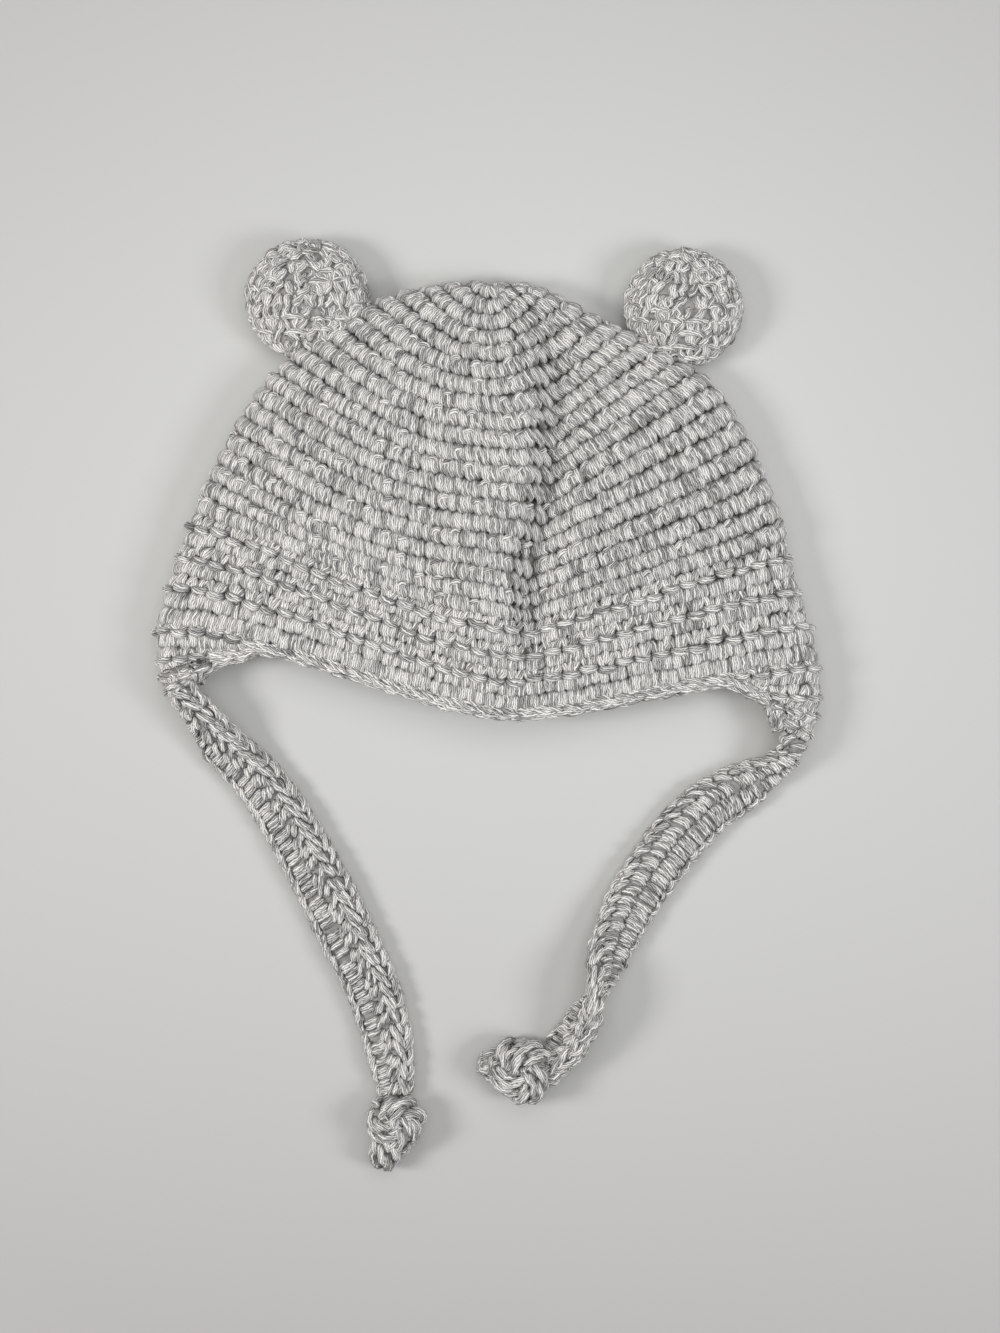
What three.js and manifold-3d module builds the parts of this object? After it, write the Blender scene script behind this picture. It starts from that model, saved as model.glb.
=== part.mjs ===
// A crocheted baby bonnet with two round ears and knotted ties, lying flat on its back.
// Millimetres, +Z up. The face side is up, the crown points to +Y and the neck opening to -Y.
import * as THREE from "three";
import { mergeVertices } from "three/addons/utils/BufferGeometryUtils.js";
import Module from "manifold-3d";

const wasm = await Module();
wasm.setup();

// Driving dimensions
const WALL = 4; // thickness of the crocheted fabric
const GAP = 0.3; // clearance between neighbouring pieces
const FOLD_RADIUS = 5.5; // outside radius of the fold at the sides and the crown
const PUFF = 8; // how far the upper layer stands above the folded edge
const PUFF_REACH = 28; // distance from the fold over which it rises
const PUFF_POWER = 1.6; // how late the rise starts, past the fold
const BRIM_SAG = 0.35; // share of the puff that the upper layer loses at the brim
const SAG_START = 0.6; // share of the way down from the crown at which that loss starts
const BACK_SHORTER = 0.03; // share by which the lower layer ends before the upper one
const EDGING_RADIUS = 1.6; // the chain edging round the opening
const EDGING_GAP = 0.5; // its clearance, wider because it bends round corners
const TIE_THICKNESS = 4.4;
const KNOT_ROPE_RADIUS = 3.3; // the tie drawn together, as it runs through its knot
const INNER_CROWN = 5; // distance from the crown's outside to the top of the hollow

// Outline of the lying bonnet, from the crown down each side to the brim
const CROWN = { x: 1, y: 65.6 };
const LEFT_SIDE = [
  { x: -14.5, y: 64.8 },
  { x: -31.5, y: 61.0 },
  { x: -52.5, y: 49.5 },
  { x: -69.5, y: 33.5 },
  { x: -82.0, y: 13.0 },
  { x: -91.0, y: -7.0 },
  { x: -98.0, y: -26.5 },
  { x: -101.3, y: -38.5 },
];
const RIGHT_SIDE = [
  { x: 15.5, y: 64.0 },
  { x: 33.0, y: 55.5 },
  { x: 52.2, y: 46.0 },
  { x: 69.5, y: 33.5 },
  { x: 80.0, y: 16.0 },
  { x: 88.0, y: -3.0 },
  { x: 93.5, y: -24.0 },
  { x: 99.3, y: -44.0 },
  { x: 100.6, y: -50.0 },
];
const FRONT_POINT = { x: 7.5, y: -64.2 }; // lowest point of the brim, at the centre front

// How the rows of stitches curve: lengths of their Bezier handles as shares of the half row
const ROW_HANDLES = { crown: 0.55, brim: 0.2, crownFold: 0.4, leftFold: 0.3, rightFold: 0.22 };
const ROW_LEVELLING = 0.5; // power with which the rows' ends turn level towards the brim

// The soft pleat down the centre front, the valley on its right and the shallow dent on its left
const PLEAT = { x: 5.5, upperX: 12, height: 5.6, leftReach: 19, rightReach: 4.4 };
const PLEAT_LEAN = { from: -25, to: 10 }; // heights between which the pleat shifts from x to upperX
const PLEAT_SPAN = { top: 60, full: 36, fade: -34, end: -58 };
const VALLEY = { depth: 3.3, offset: 9, reach: 10 };
const DENT = { x: -18.5, y: -14, depth: 1.8, halfWidth: 5, halfLength: 26 };
const RELIEF = { start: 2, full: 24 }; // distances from the fold between which pleat and dent fade in

// Where the earflaps' free edges meet the brim, as shares of the way round from each side fold
const FLAP_CORNER = { left: 0.085, right: 0.0725 };
const FLAP_BLEND = 0.4; // share of a flap over which it turns from the cap's rim into its own strip
const FLAP_START_RUN = 4; // how far the cap's surface would be carried on below its rim by a flap's end
const BACK_STEP = 0.1; // share of a row over which the lower layer's shorter rim falls in beside a flap

// Flap and tie of each side as one strip, from the cap's rim to the knot. x and y: middle of the strip;
// half: half its width; bend: how far it is folded round its middle; roll: its tilt, both in degrees
const LEFT_STRIP = [
  { x: -99.3, y: -43.5, half: 29.0, bend: 180, roll: 90 },
  { x: -99.2, y: -49.4, half: 17.0, bend: 180, roll: 90 },
  { x: -98.2, y: -55.0, half: 12.0, bend: 180, roll: 90 },
  { x: -95.4, y: -60.2, half: 8.4, bend: 160, roll: 80 },
  { x: -90.6, y: -65.6, half: 6.8, bend: 100, roll: 52 },
  { x: -79.6, y: -77.6, half: 6.6, bend: 20, roll: 12 },
  { x: -72.6, y: -84.3, half: 6.8, bend: 0, roll: 0 },
  { x: -63.1, y: -97.3, half: 7.5, bend: 0, roll: 0 },
  { x: -50.9, y: -119.3, half: 8.0, bend: 0, roll: 0 },
  { x: -41.3, y: -138.5, half: 7.9, bend: 0, roll: 0 },
  { x: -34.9, y: -152.4, half: 7.4, bend: 0, roll: 0 },
  { x: -31.7, y: -163.6, half: 6.9, bend: 0, roll: 0 },
  { x: -29.9, y: -172.2, half: 6.2, bend: 0, roll: 0 },
  { x: -28.8, y: -183.0, half: 4.6, bend: 30, roll: 0 },
];
const RIGHT_STRIP = [
  { x: 98.8, y: -54.6, half: 23.0, bend: 180, roll: 90 },
  { x: 99.0, y: -60.6, half: 15.4, bend: 180, roll: 90 },
  { x: 97.8, y: -67.4, half: 11.8, bend: 180, roll: 90 },
  { x: 95.2, y: -73.8, half: 8.0, bend: 165, roll: 84 },
  { x: 91.6, y: -79.6, half: 5.2, bend: 110, roll: 58 },
  { x: 85.4, y: -84.0, half: 4.2, bend: 30, roll: 20 },
  { x: 79.4, y: -87.6, half: 6.5, bend: 0, roll: 0 },
  { x: 66.1, y: -95.8, half: 7.8, bend: 0, roll: 0 },
  { x: 52.9, y: -110.4, half: 7.8, bend: 0, roll: 0 },
  { x: 43.5, y: -124.5, half: 7.5, bend: 0, roll: 6 },
  { x: 37.4, y: -137.6, half: 6.6, bend: 0, roll: 24 },
  { x: 33.9, y: -148.7, half: 6.2, bend: 0, roll: 66 },
  { x: 29.4, y: -157.6, half: 6.2, bend: 0, roll: 116 },
  { x: 24.2, y: -166.4, half: 6.2, bend: 0, roll: 138 },
  { x: 15.5, y: -176.6, half: 4.6, bend: 0, roll: 142 },
];
const FLAP_STATIONS = 4; // how many of a strip's stations belong to the flap

// Ears: flattened balls, sewn to the fold of the crown
const EARS = {
  ear_left: { x: -55.2, y: 60.4, radiusX: 18.6, radiusY: 18.2 },
  ear_right: { x: 59.3, y: 57.8, radiusX: 17.8, radiusY: 17.8 },
};
const EAR_THICKNESS = 13;
const EAR_FOOT = 1.2; // height that is pressed flat on an ear's underside
const EAR_FULLNESS = 0.2; // how much rounder than an ellipsoid an ear's edge is
const EAR_SIDES = 24;

// Overhand knots at the ends of the ties. size scales a knot's run, turn rotates it, tail is its loose end
const KNOTS = {
  knot_left: { x: -28.4, y: -190.8, size: 0.78, turn: 150, tailX: -4.5, tailY: -13.5 },
  knot_right: { x: 10.0, y: -174.6, size: 0.95, turn: 30, tailX: -12.5, tailY: 1.5 },
};
const KNOT_RUN = { across: 2.35, up: 2.9 };
const KNOT_SPANS = 3; // the knot's rope is made of this many overlapping lengths
const KNOT_OVERLAP = 0.08; // the angle by which they overlap at each end
const KNOT_STEPS = 12;
const TAIL_STEPS = 3;
const BAR_SIDES = 8;

const YARN = { color: 0xcbc7c2, roughness: 0.95, metalness: 0 }; // marled pale grey cotton

const mix = THREE.MathUtils.lerp;
const clamp = THREE.MathUtils.clamp;
const smooth = THREE.MathUtils.smoothstep;
const radians = THREE.MathUtils.degToRad;
const evenly = (count, from = 0, to = 1) =>
  Array.from({ length: count + 1 }, (_, i) => mix(from, to, i / count));

// The folded edge seen from above

const curveThrough = (places) =>
  new THREE.CatmullRomCurve3(places.map((p) => new THREE.Vector3(p.x, p.y, 0)));
const sides = {
  left: curveThrough([CROWN, ...LEFT_SIDE]),
  right: curveThrough([CROWN, ...RIGHT_SIDE]),
};
const SILHOUETTE_STEPS = 300;
const BELOW_BRIM = new THREE.Vector3(0, -60, 0); // the folded edge runs on past the brim, along the flaps
const silhouette = [
  ...sides.left.getSpacedPoints(SILHOUETTE_STEPS).reverse(),
  ...sides.right.getSpacedPoints(SILHOUETTE_STEPS),
];
silhouette.unshift(silhouette[0].clone().add(BELOW_BRIM));
silhouette.push(silhouette[silhouette.length - 1].clone().add(BELOW_BRIM));

function distanceToFold(x, y) {
  const place = new THREE.Vector3(x, y, 0);
  const segment = new THREE.Line3();
  const nearest = new THREE.Vector3();
  let best = Infinity;
  for (let i = 1; i < silhouette.length; i++) {
    segment.set(silhouette[i - 1], silhouette[i]);
    best = Math.min(best, segment.closestPointToPoint(place, true, nearest).distanceTo(place));
  }
  return best;
}

// Heights of the two layers

const bell = (distance, reach) => Math.exp(-((distance / reach) ** 2));

function pleatHeight(x, y) {
  const belowTop = 1 - smooth(y, PLEAT_SPAN.full, PLEAT_SPAN.top);
  const aboveEnd = smooth(y, PLEAT_SPAN.end, PLEAT_SPAN.fade);
  const across = x - mix(PLEAT.x, PLEAT.upperX, smooth(y, PLEAT_LEAN.from, PLEAT_LEAN.to));
  const ridge = PLEAT.height * bell(across, across < 0 ? PLEAT.leftReach : PLEAT.rightReach);
  const valley = VALLEY.depth * bell(across - VALLEY.offset, VALLEY.reach);
  const dent = DENT.depth * bell(x - DENT.x, DENT.halfWidth) * bell(y - DENT.y, DENT.halfLength);
  return belowTop * aboveEnd * (ridge - valley) - dent;
}

// Height of the outside of a layer, at a share of the way from the crown to the brim
function layerHeight(x, y, share, upper) {
  const inside = distanceToFold(x, y);
  const round = Math.min(inside / FOLD_RADIUS, 1);
  const rise = FOLD_RADIUS * Math.sqrt(1 - (1 - round) ** 2);
  if (!upper) return FOLD_RADIUS - rise;
  const puff = PUFF * (1 - Math.exp(-((inside / PUFF_REACH) ** PUFF_POWER)));
  const sag = 1 - BRIM_SAG * smooth(share, SAG_START, 1);
  const relief = pleatHeight(x, y) * smooth(inside, RELIEF.start, RELIEF.full);
  return FOLD_RADIUS + rise + puff * sag + relief;
}

// Rows of stitches

// One row seen from above, from the left fold through the centre front to the right fold
function rowCurve(share) {
  const centre = new THREE.Vector3(
    mix(CROWN.x, FRONT_POINT.x, share),
    mix(CROWN.y, FRONT_POINT.y, share),
    0,
  );
  const centreHandle = mix(ROW_HANDLES.crown, ROW_HANDLES.brim, share);
  const handlesOf = (side, inwardSign) => {
    const start = sides[side].getPointAt(share);
    const along = sides[side].getTangentAt(share);
    const tilt = along.x * (1 - share ** ROW_LEVELLING);
    const inward = new THREE.Vector3(-along.y, tilt, 0).multiplyScalar(inwardSign).normalize();
    const width = Math.abs(centre.x - start.x);
    const drop = Math.abs(start.y - centre.y);
    const foldHandle = mix(ROW_HANDLES.crownFold, ROW_HANDLES[side + "Fold"], share);
    const sideways = foldHandle * width * Math.abs(inward.x);
    const reach = ROW_HANDLES.crown * drop * Math.abs(inward.y) + sideways;
    const atFold = start.clone().addScaledVector(inward, reach);
    const atCentre = centre.clone();
    atCentre.x -= inwardSign * centreHandle * width;
    return [start, atFold, atCentre];
  };
  const row = new THREE.CurvePath();
  row.add(new THREE.CubicBezierCurve3(...handlesOf("left", 1), centre));
  row.add(new THREE.CubicBezierCurve3(centre, ...handlesOf("right", -1).reverse()));
  return row;
}

const rows = new Map();
function rowAt(share) {
  if (!rows.has(share)) rows.set(share, rowCurve(share));
  return rows.get(share);
}

// Plan distance from the fold after a distance over the surface, which starts round the fold
function planDistance(developed, radius) {
  const quarter = (Math.PI / 2) * radius;
  if (developed > quarter) return radius + developed - quarter;
  return radius * (1 - Math.cos(developed / radius));
}

// A point on the outside. turn 0 is the left fold, 0.5 the right fold, and between them is the upper layer
function outside(share, turn) {
  const whole = turn - Math.floor(turn);
  const upper = whole < 0.5;
  const along = upper ? whole * 2 : 2 - whole * 2;
  const row = rowAt(share);
  const length = row.getLength();
  const radius = Math.min(FOLD_RADIUS, length / 4);
  const developed = length + (Math.PI - 2) * radius;
  const run = planDistance(Math.min(along, 1 - along) * developed, radius) / length;
  const point = row.getPointAt(clamp(along < 0.5 ? run : 1 - run, 0, 1));
  point.z = layerHeight(point.x, point.y, share, upper);
  return point;
}

// The surface's directions down the rows, and out of the fabric
const STEP = { share: 0.012, turn: 0.004 };
const FIRST_SHARE = 0.004; // as near to the crown as a row can be worked out
function downRow(share, turn) {
  const before = outside(Math.max(share - STEP.share, FIRST_SHARE), turn);
  return outside(Math.min(share + STEP.share, 1), turn).sub(before).normalize();
}
function outward(share, turn) {
  const alongRow = outside(share, turn + STEP.turn).sub(outside(share, turn - STEP.turn));
  return downRow(share, turn).cross(alongRow).normalize();
}
const shell = (share, turn, depth) => outside(share, turn).addScaledVector(outward(share, turn), -depth);

// Closed bodies

// A body from points and triangles, turned so that its faces point out
function closedBody(points, faces) {
  let volume = 0;
  for (let i = 0; i < faces.length; i += 3) {
    const [a, b, c] = faces.slice(i, i + 3).map((index) => points[index]);
    volume += a.dot(b.clone().cross(c));
  }
  const index = volume < 0 ? faces.toReversed() : faces;
  return new THREE.BufferGeometry().setFromPoints(points).setIndex(index);
}

// The quads between closed rings of points, one after another
function ringWalls(ringCount, size) {
  const faces = [];
  for (let i = 1; i < ringCount; i++)
    for (let j = 0; j < size; j++) {
      const a = (i - 1) * size + j;
      const b = (i - 1) * size + ((j + 1) % size);
      faces.push(a, a + size, b, b, a + size, b + size);
    }
  return faces;
}

// Rings of points closed by a fan round a point at each end
function fannedBody(rings, firstHub, lastHub) {
  const size = rings[0].length;
  const points = [...rings.flat(), firstHub, lastHub];
  const faces = ringWalls(rings.length, size);
  const lastRing = (rings.length - 1) * size;
  for (let j = 0; j < size; j++) {
    const next = (j + 1) % size;
    faces.push(points.length - 2, j, next);
    faces.push(points.length - 1, lastRing + next, lastRing + j);
  }
  return closedBody(points, faces);
}

// A sheet from pairs of points on its two faces: pairAt(t, w) with t along it and w from -1 to 1 across it
function sheetBody(pairAt, lengths, widths) {
  const rings = lengths.map((t) => {
    const pairs = widths.map((w) => pairAt(t, w));
    return [...pairs.map((pair) => pair.outer), ...pairs.map((pair) => pair.inner).reverse()];
  });
  const size = 2 * widths.length;
  const faces = ringWalls(rings.length, size);
  const lastRing = (rings.length - 1) * size;
  for (let j = 0; j < widths.length - 1; j++) {
    const [outer, inner] = [j, size - 1 - j];
    faces.push(outer, outer + 1, inner, outer + 1, inner - 1, inner);
    faces.push(lastRing + outer, lastRing + inner, lastRing + outer + 1);
    faces.push(lastRing + outer + 1, lastRing + inner, lastRing + inner - 1);
  }
  return closedBody(rings.flat(), faces);
}

// A round bar along points, with flat ends
function bar(points, radius, barSides, steps) {
  const section = new THREE.Shape().absarc(0, 0, radius, 0, 2 * Math.PI, false);
  const extrudePath = new THREE.CatmullRomCurve3(points, false, "centripetal");
  const curveSegments = barSides / 2; // an arc is given two points for each of these
  return new THREE.ExtrudeGeometry(section, { steps, extrudePath, curveSegments, bevelEnabled: false });
}

function solidOf(geometry) {
  const bare = new THREE.BufferGeometry();
  bare.setAttribute("position", geometry.getAttribute("position").clone());
  bare.setIndex(geometry.index);
  const merged = mergeVertices(bare, 1e-4);
  const vertProperties = merged.getAttribute("position").array;
  const triVerts = new Uint32Array(merged.index.array);
  return new wasm.Manifold(new wasm.Mesh({ numProp: 3, vertProperties, triVerts }));
}

function geometryOf(solid) {
  const mesh = solid.getMesh();
  const geometry = new THREE.BufferGeometry();
  geometry.setAttribute("position", new THREE.BufferAttribute(new Float32Array(mesh.vertProperties), 3));
  geometry.setIndex(new THREE.BufferAttribute(new Uint32Array(mesh.triVerts), 1));
  return geometry;
}

// Cap

const CAP_SHARES = [0.045, 0.09, 0.14, ...evenly(9, 0.2, 0.83), 0.9, 0.955, 1];

// Places round a row, closer together at the folds, the dent and the pleat
function capTurns() {
  const leftFold = [0, 0.012, 0.024, 0.036];
  const front = [0.06, 0.1, 0.14, 0.175, 0.195, 0.215, 0.235];
  const pleat = [0.25, 0.262, 0.274, 0.288, 0.305, 0.325, 0.36];
  const rightFold = [0.4, 0.44, 0.464, 0.476, 0.488, 0.5, 0.512, 0.524, 0.536];
  const back = [0.56, 0.61, 0.67, 0.75, 0.83, 0.89, 0.94];
  const backToFold = [0.964, 0.976, 0.988];
  return [...leftFold, ...front, ...pleat, ...rightFold, ...back, ...backToFold];
}

// The lower layer ends a little before the upper one, between the flaps
function rimShare(turn) {
  if (turn < 0.5) return 1;
  const pastLeft = smooth(1 - turn, FLAP_CORNER.left, FLAP_CORNER.left + BACK_STEP);
  const pastRight = smooth(turn - 0.5, FLAP_CORNER.right, FLAP_CORNER.right + BACK_STEP);
  return 1 - BACK_SHORTER * pastLeft * pastRight;
}

// Down the outside from the crown to the rim, and back up on the inside
function cap() {
  const ring = (share, depth) => capTurns().map((turn) => shell(share * rimShare(turn), turn, depth));
  const outer = CAP_SHARES.map((share) => ring(share, 0));
  const inner = CAP_SHARES.slice(1).map((share) => ring(share, WALL)).reverse();
  const outerCrown = new THREE.Vector3(CROWN.x, CROWN.y, FOLD_RADIUS);
  const innerCrown = new THREE.Vector3(CROWN.x, CROWN.y - INNER_CROWN, FOLD_RADIUS);
  return fannedBody([...outer, ...inner], outerCrown, innerCrown);
}

// The cap without its hollow, grown by a clearance, to cut what is seated on it
function capBlock(clearance) {
  const rings = CAP_SHARES.map((share) => capTurns().map((turn) => shell(share, turn, -clearance)));
  const rim = rings[rings.length - 1];
  const middle = new THREE.Vector3();
  for (const point of rim) middle.addScaledVector(point, 1 / rim.length);
  const crown = new THREE.Vector3(CROWN.x, CROWN.y + clearance, FOLD_RADIUS);
  return fannedBody(rings, crown, middle);
}

// Flaps and ties

// Section of a strip folded round its middle: where a place lies, by its distance from the middle
function bentSection(distance, bend, roll, radius) {
  const bentHalf = (bend / 2) * radius;
  const onBend = clamp(distance, -bentHalf, bentHalf);
  const angle = roll - onBend / radius;
  const straight = distance - onBend;
  return {
    across: radius * (Math.sin(roll) - Math.sin(angle)) + straight * Math.cos(angle),
    up: radius * (Math.cos(angle) - Math.cos(roll)) + straight * Math.sin(angle),
  };
}

// The middle surface of a strip as a function of the share of its length and the place across it
function stripSurface(side, thickness) {
  const stations = side === "left" ? LEFT_STRIP : RIGHT_STRIP;
  const sideSign = side === "left" ? 1 : -1;
  const track = curveThrough(stations);
  const radius = FOLD_RADIUS - WALL / 2;
  const valueAt = (name, t) => {
    const place = clamp(t, 0, 1) * (stations.length - 1);
    const i = Math.min(Math.floor(place), stations.length - 2);
    return mix(stations[i][name], stations[i + 1][name], place - i);
  };
  return (t, w) => {
    const half = valueAt("half", t);
    const bend = radians(valueAt("bend", t));
    const roll = radians(valueAt("roll", t));
    const ups = [-half, 0, half].map((distance) => bentSection(distance, bend, roll, radius).up);
    const { across, up } = bentSection(w * half, bend, roll, radius);
    const along = track.getTangent(clamp(t, 0, 1));
    const lateral = new THREE.Vector3(-along.y, along.x, 0).multiplyScalar(sideSign);
    const point = track.getPoint(clamp(t, 0, 1)).addScaledVector(lateral, across);
    point.z = thickness / 2 + up - Math.min(...ups);
    return point;
  };
}

// The strip's two faces
function stripPair(surface, thickness, sideSign, t, w) {
  const [dt, dw] = [0.002, 0.02];
  const along = surface(Math.min(t + dt, 1), w).sub(surface(Math.max(t - dt, 0), w));
  const across = surface(t, Math.min(w + dw, 1)).sub(surface(t, Math.max(w - dw, -1)));
  const normal = along.cross(across).normalize().multiplyScalar((sideSign * thickness) / 2);
  const middle = surface(t, w);
  return { outer: middle.clone().add(normal), inner: middle.clone().sub(normal) };
}

// The cap's rim, carried on past its edge
function rimPair(side, w, beyond) {
  const turn = side === "left" ? w * FLAP_CORNER.left : 0.5 - w * FLAP_CORNER.right;
  const down = downRow(1, turn).multiplyScalar(beyond);
  return { outer: shell(1, turn, 0).add(down), inner: shell(1, turn, WALL).add(down) };
}

// A flap: it starts along the cap's rim and narrows, still folded, towards its tie
function flapPair(side) {
  const surface = stripSurface(side, WALL);
  const sideSign = side === "left" ? 1 : -1;
  const stationCount = side === "left" ? LEFT_STRIP.length : RIGHT_STRIP.length;
  const flapShare = (FLAP_STATIONS - 1) / (stationCount - 1);
  return (t, w) => {
    const rim = rimPair(side, w, GAP + t * FLAP_START_RUN);
    const strip = stripPair(surface, WALL, sideSign, t * flapShare, w);
    const blend = smooth(t, 0, FLAP_BLEND);
    return { outer: rim.outer.lerp(strip.outer, blend), inner: rim.inner.lerp(strip.inner, blend) };
  };
}

const FLAP_LENGTHS = [0, 0.08, 0.16, 0.25, 0.36, 0.48, 0.62, 0.76, 0.88, 1];
const FLAP_WIDTHS = [-1, -0.75, -0.5, -0.35, -0.24, -0.12, 0, 0.12, 0.24, 0.35, 0.5, 0.75, 1];
const flap = (side) => sheetBody(flapPair(side), FLAP_LENGTHS, FLAP_WIDTHS);

const TIE_STEPS = 40;
const TIE_START_GAP = 0.008; // share of the strip between the end of the flap and the start of the tie
const TIE_WIDTHS = [-1, -0.6, -0.2, 0.2, 0.6, 1];
function tie(side, knotSolid) {
  const surface = stripSurface(side, TIE_THICKNESS);
  const sideSign = side === "left" ? 1 : -1;
  const stationCount = side === "left" ? LEFT_STRIP.length : RIGHT_STRIP.length;
  const start = (FLAP_STATIONS - 1) / (stationCount - 1) + TIE_START_GAP;
  const pairAt = (t, w) => stripPair(surface, TIE_THICKNESS, sideSign, t, w);
  const body = sheetBody(pairAt, evenly(TIE_STEPS, start, 1), TIE_WIDTHS);
  return geometryOf(solidOf(body).subtract(knotSolid));
}

// Edging

const EDGING_ON_FLAP = [0.96, 0.85, 0.74, 0.62, 0.5, 0.4, 0.3, 0.2, 0.1]; // places along a flap, upwards
const EDGING_ON_BRIM = { places: 16, margin: 0.014 }; // along the brim, up to a margin from the flaps
const EDGING_STEPS = 80;

// A place of the chain's middle, no lower than the chain can rest
function resting(place) {
  place.z = Math.max(place.z, EDGING_RADIUS);
  return place;
}

// The chain of one layer: up the left flap's free edge, along the brim and down the right flap's
function edging(upper) {
  const reach = EDGING_RADIUS + EDGING_GAP;
  const w = upper ? 1 : -1;
  const besideFlap = (pairAt, t) => {
    const middle = (place, across) => {
      const { outer, inner } = pairAt(place, across);
      return outer.add(inner).multiplyScalar(0.5);
    };
    const { outer, inner } = pairAt(t, w);
    const edge = middle(t, w);
    const [step, within] = [0.02, 0.9];
    const along = middle(t + step, w).sub(middle(t - step, w));
    const away = along.cross(outer.sub(inner)).normalize();
    const fabric = edge.clone().sub(middle(t, w * within));
    return resting(edge.addScaledVector(away, reach * Math.sign(away.dot(fabric))));
  };
  const left = EDGING_ON_FLAP.map((t) => besideFlap(flapPair("left"), t));
  const right = EDGING_ON_FLAP.map((t) => besideFlap(flapPair("right"), t)).reverse();
  const { places, margin } = EDGING_ON_BRIM;
  const turns = evenly(places, FLAP_CORNER.left + margin, 0.5 - FLAP_CORNER.right - margin);
  const brim = turns.map((turn) => {
    const place = upper ? turn : 1 - turn;
    const share = rimShare(place);
    return resting(shell(share, place, WALL / 2).addScaledVector(downRow(share, place), reach));
  });
  return bar([...left, ...brim, ...right], EDGING_RADIUS, BAR_SIDES, EDGING_STEPS);
}

// Ears

function ear({ x, y, radiusX, radiusY }, capSolid) {
  const ball = new THREE.SphereGeometry(1, EAR_SIDES, EAR_SIDES / 2).rotateX(Math.PI / 2);
  const position = ball.getAttribute("position");
  for (let i = 0; i < position.count; i++) {
    const [across, up, height] = [position.getX(i), position.getY(i), position.getZ(i)];
    const fullness = Math.max(Math.hypot(across, up), 1e-6) ** -EAR_FULLNESS;
    const lifted = (height * (EAR_THICKNESS + EAR_FOOT) + EAR_THICKNESS - EAR_FOOT) / 2;
    const [outX, outY] = [across * fullness * radiusX, up * fullness * radiusY];
    position.setXYZ(i, x + outX, y + outY, Math.max(lifted, 0));
  }
  return geometryOf(solidOf(ball).subtract(capSolid));
}

// Knots

// The run of a rope through an overhand knot, as its angle goes round once
function knotPoint(angle) {
  const spread = KNOT_RUN.across * (2 + Math.cos(3 * angle));
  return new THREE.Vector3(
    spread * Math.cos(2 * angle),
    spread * Math.sin(2 * angle),
    KNOT_RUN.up * Math.sin(3 * angle),
  );
}

function knot({ x, y, size, turn, tailX, tailY }, clearance = 0) {
  const radius = KNOT_ROPE_RADIUS + clearance;
  const centre = new THREE.Vector3(x, y, KNOT_ROPE_RADIUS + KNOT_RUN.up * size);
  const place = (point) =>
    point.multiplyScalar(size).applyAxisAngle(new THREE.Vector3(0, 0, 1), radians(turn)).add(centre);
  const tailEnd = new THREE.Vector3(x + tailX, y + tailY, radius);
  const tail = evenly(TAIL_STEPS).map((t) => centre.clone().lerp(tailEnd, t));
  let solid = solidOf(bar(tail, radius, BAR_SIDES, TAIL_STEPS));
  for (let span = 0; span < KNOT_SPANS; span++) {
    const from = (span / KNOT_SPANS) * 2 * Math.PI - KNOT_OVERLAP;
    const to = ((span + 1) / KNOT_SPANS) * 2 * Math.PI + KNOT_OVERLAP;
    const run = evenly(KNOT_STEPS, from, to).map((angle) => place(knotPoint(angle)));
    solid = solid.add(solidOf(bar(run, radius, BAR_SIDES, KNOT_STEPS)));
  }
  return solid;
}

// Assembly

const bonnet = new THREE.Group();
function add(name, geometry) {
  const mesh = new THREE.Mesh(geometry, new THREE.MeshStandardMaterial(YARN));
  mesh.name = name;
  bonnet.add(mesh);
}

add("cap", cap());
add("earflap_left", flap("left"));
add("earflap_right", flap("right"));
add("edging_front", edging(true));
add("edging_back", edging(false));

const capSolid = solidOf(capBlock(GAP));
for (const [name, sizes] of Object.entries(EARS)) add(name, ear(sizes, capSolid));

add("tie_left", tie("left", knot(KNOTS.knot_left, GAP)));
add("tie_right", tie("right", knot(KNOTS.knot_right, GAP)));
for (const [name, sizes] of Object.entries(KNOTS)) add(name, geometryOf(knot(sizes)));

export default bonnet;
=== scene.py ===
"""A crocheted baby bonnet with round ears and knotted ties, lying flat, with every stitch laid in yarn."""

import math

import bpy
import numpy as np
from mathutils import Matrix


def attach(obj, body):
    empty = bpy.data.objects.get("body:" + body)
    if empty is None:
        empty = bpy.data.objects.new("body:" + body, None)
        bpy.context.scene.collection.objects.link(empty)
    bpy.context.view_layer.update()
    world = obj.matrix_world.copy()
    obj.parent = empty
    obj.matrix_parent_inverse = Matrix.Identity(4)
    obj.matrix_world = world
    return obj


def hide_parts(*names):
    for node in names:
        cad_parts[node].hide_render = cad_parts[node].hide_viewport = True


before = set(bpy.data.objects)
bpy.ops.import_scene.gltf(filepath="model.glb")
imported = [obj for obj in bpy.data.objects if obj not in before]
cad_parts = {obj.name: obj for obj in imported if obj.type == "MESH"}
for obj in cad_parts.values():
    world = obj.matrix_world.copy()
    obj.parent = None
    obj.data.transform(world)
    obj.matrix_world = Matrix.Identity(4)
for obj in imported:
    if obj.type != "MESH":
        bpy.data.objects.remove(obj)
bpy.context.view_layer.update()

# Sizes are in millimetres and become metres where a mesh is made
MM = 0.001

# The bonnet's fabric and its fold
WALL = 4.0
GAP = 0.3
FOLD_RADIUS = 5.5
PUFF = 8.0
PUFF_REACH = 28.0
PUFF_POWER = 1.6
BRIM_SAG = 0.35
SAG_START = 0.6
BACK_SHORTER = 0.03
RIM_FADE = 0.1  # share of the way round over which the lower layer gets shorter beside a flap
RELIEF_FADE = (2, 24)  # distances from the fold between which the pleat gets its full height
EDGING_RADIUS = 1.6
EDGING_GAP = 0.5
TIE_THICKNESS = 4.4
KNOT_ROPE_RADIUS = 3.3

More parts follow.
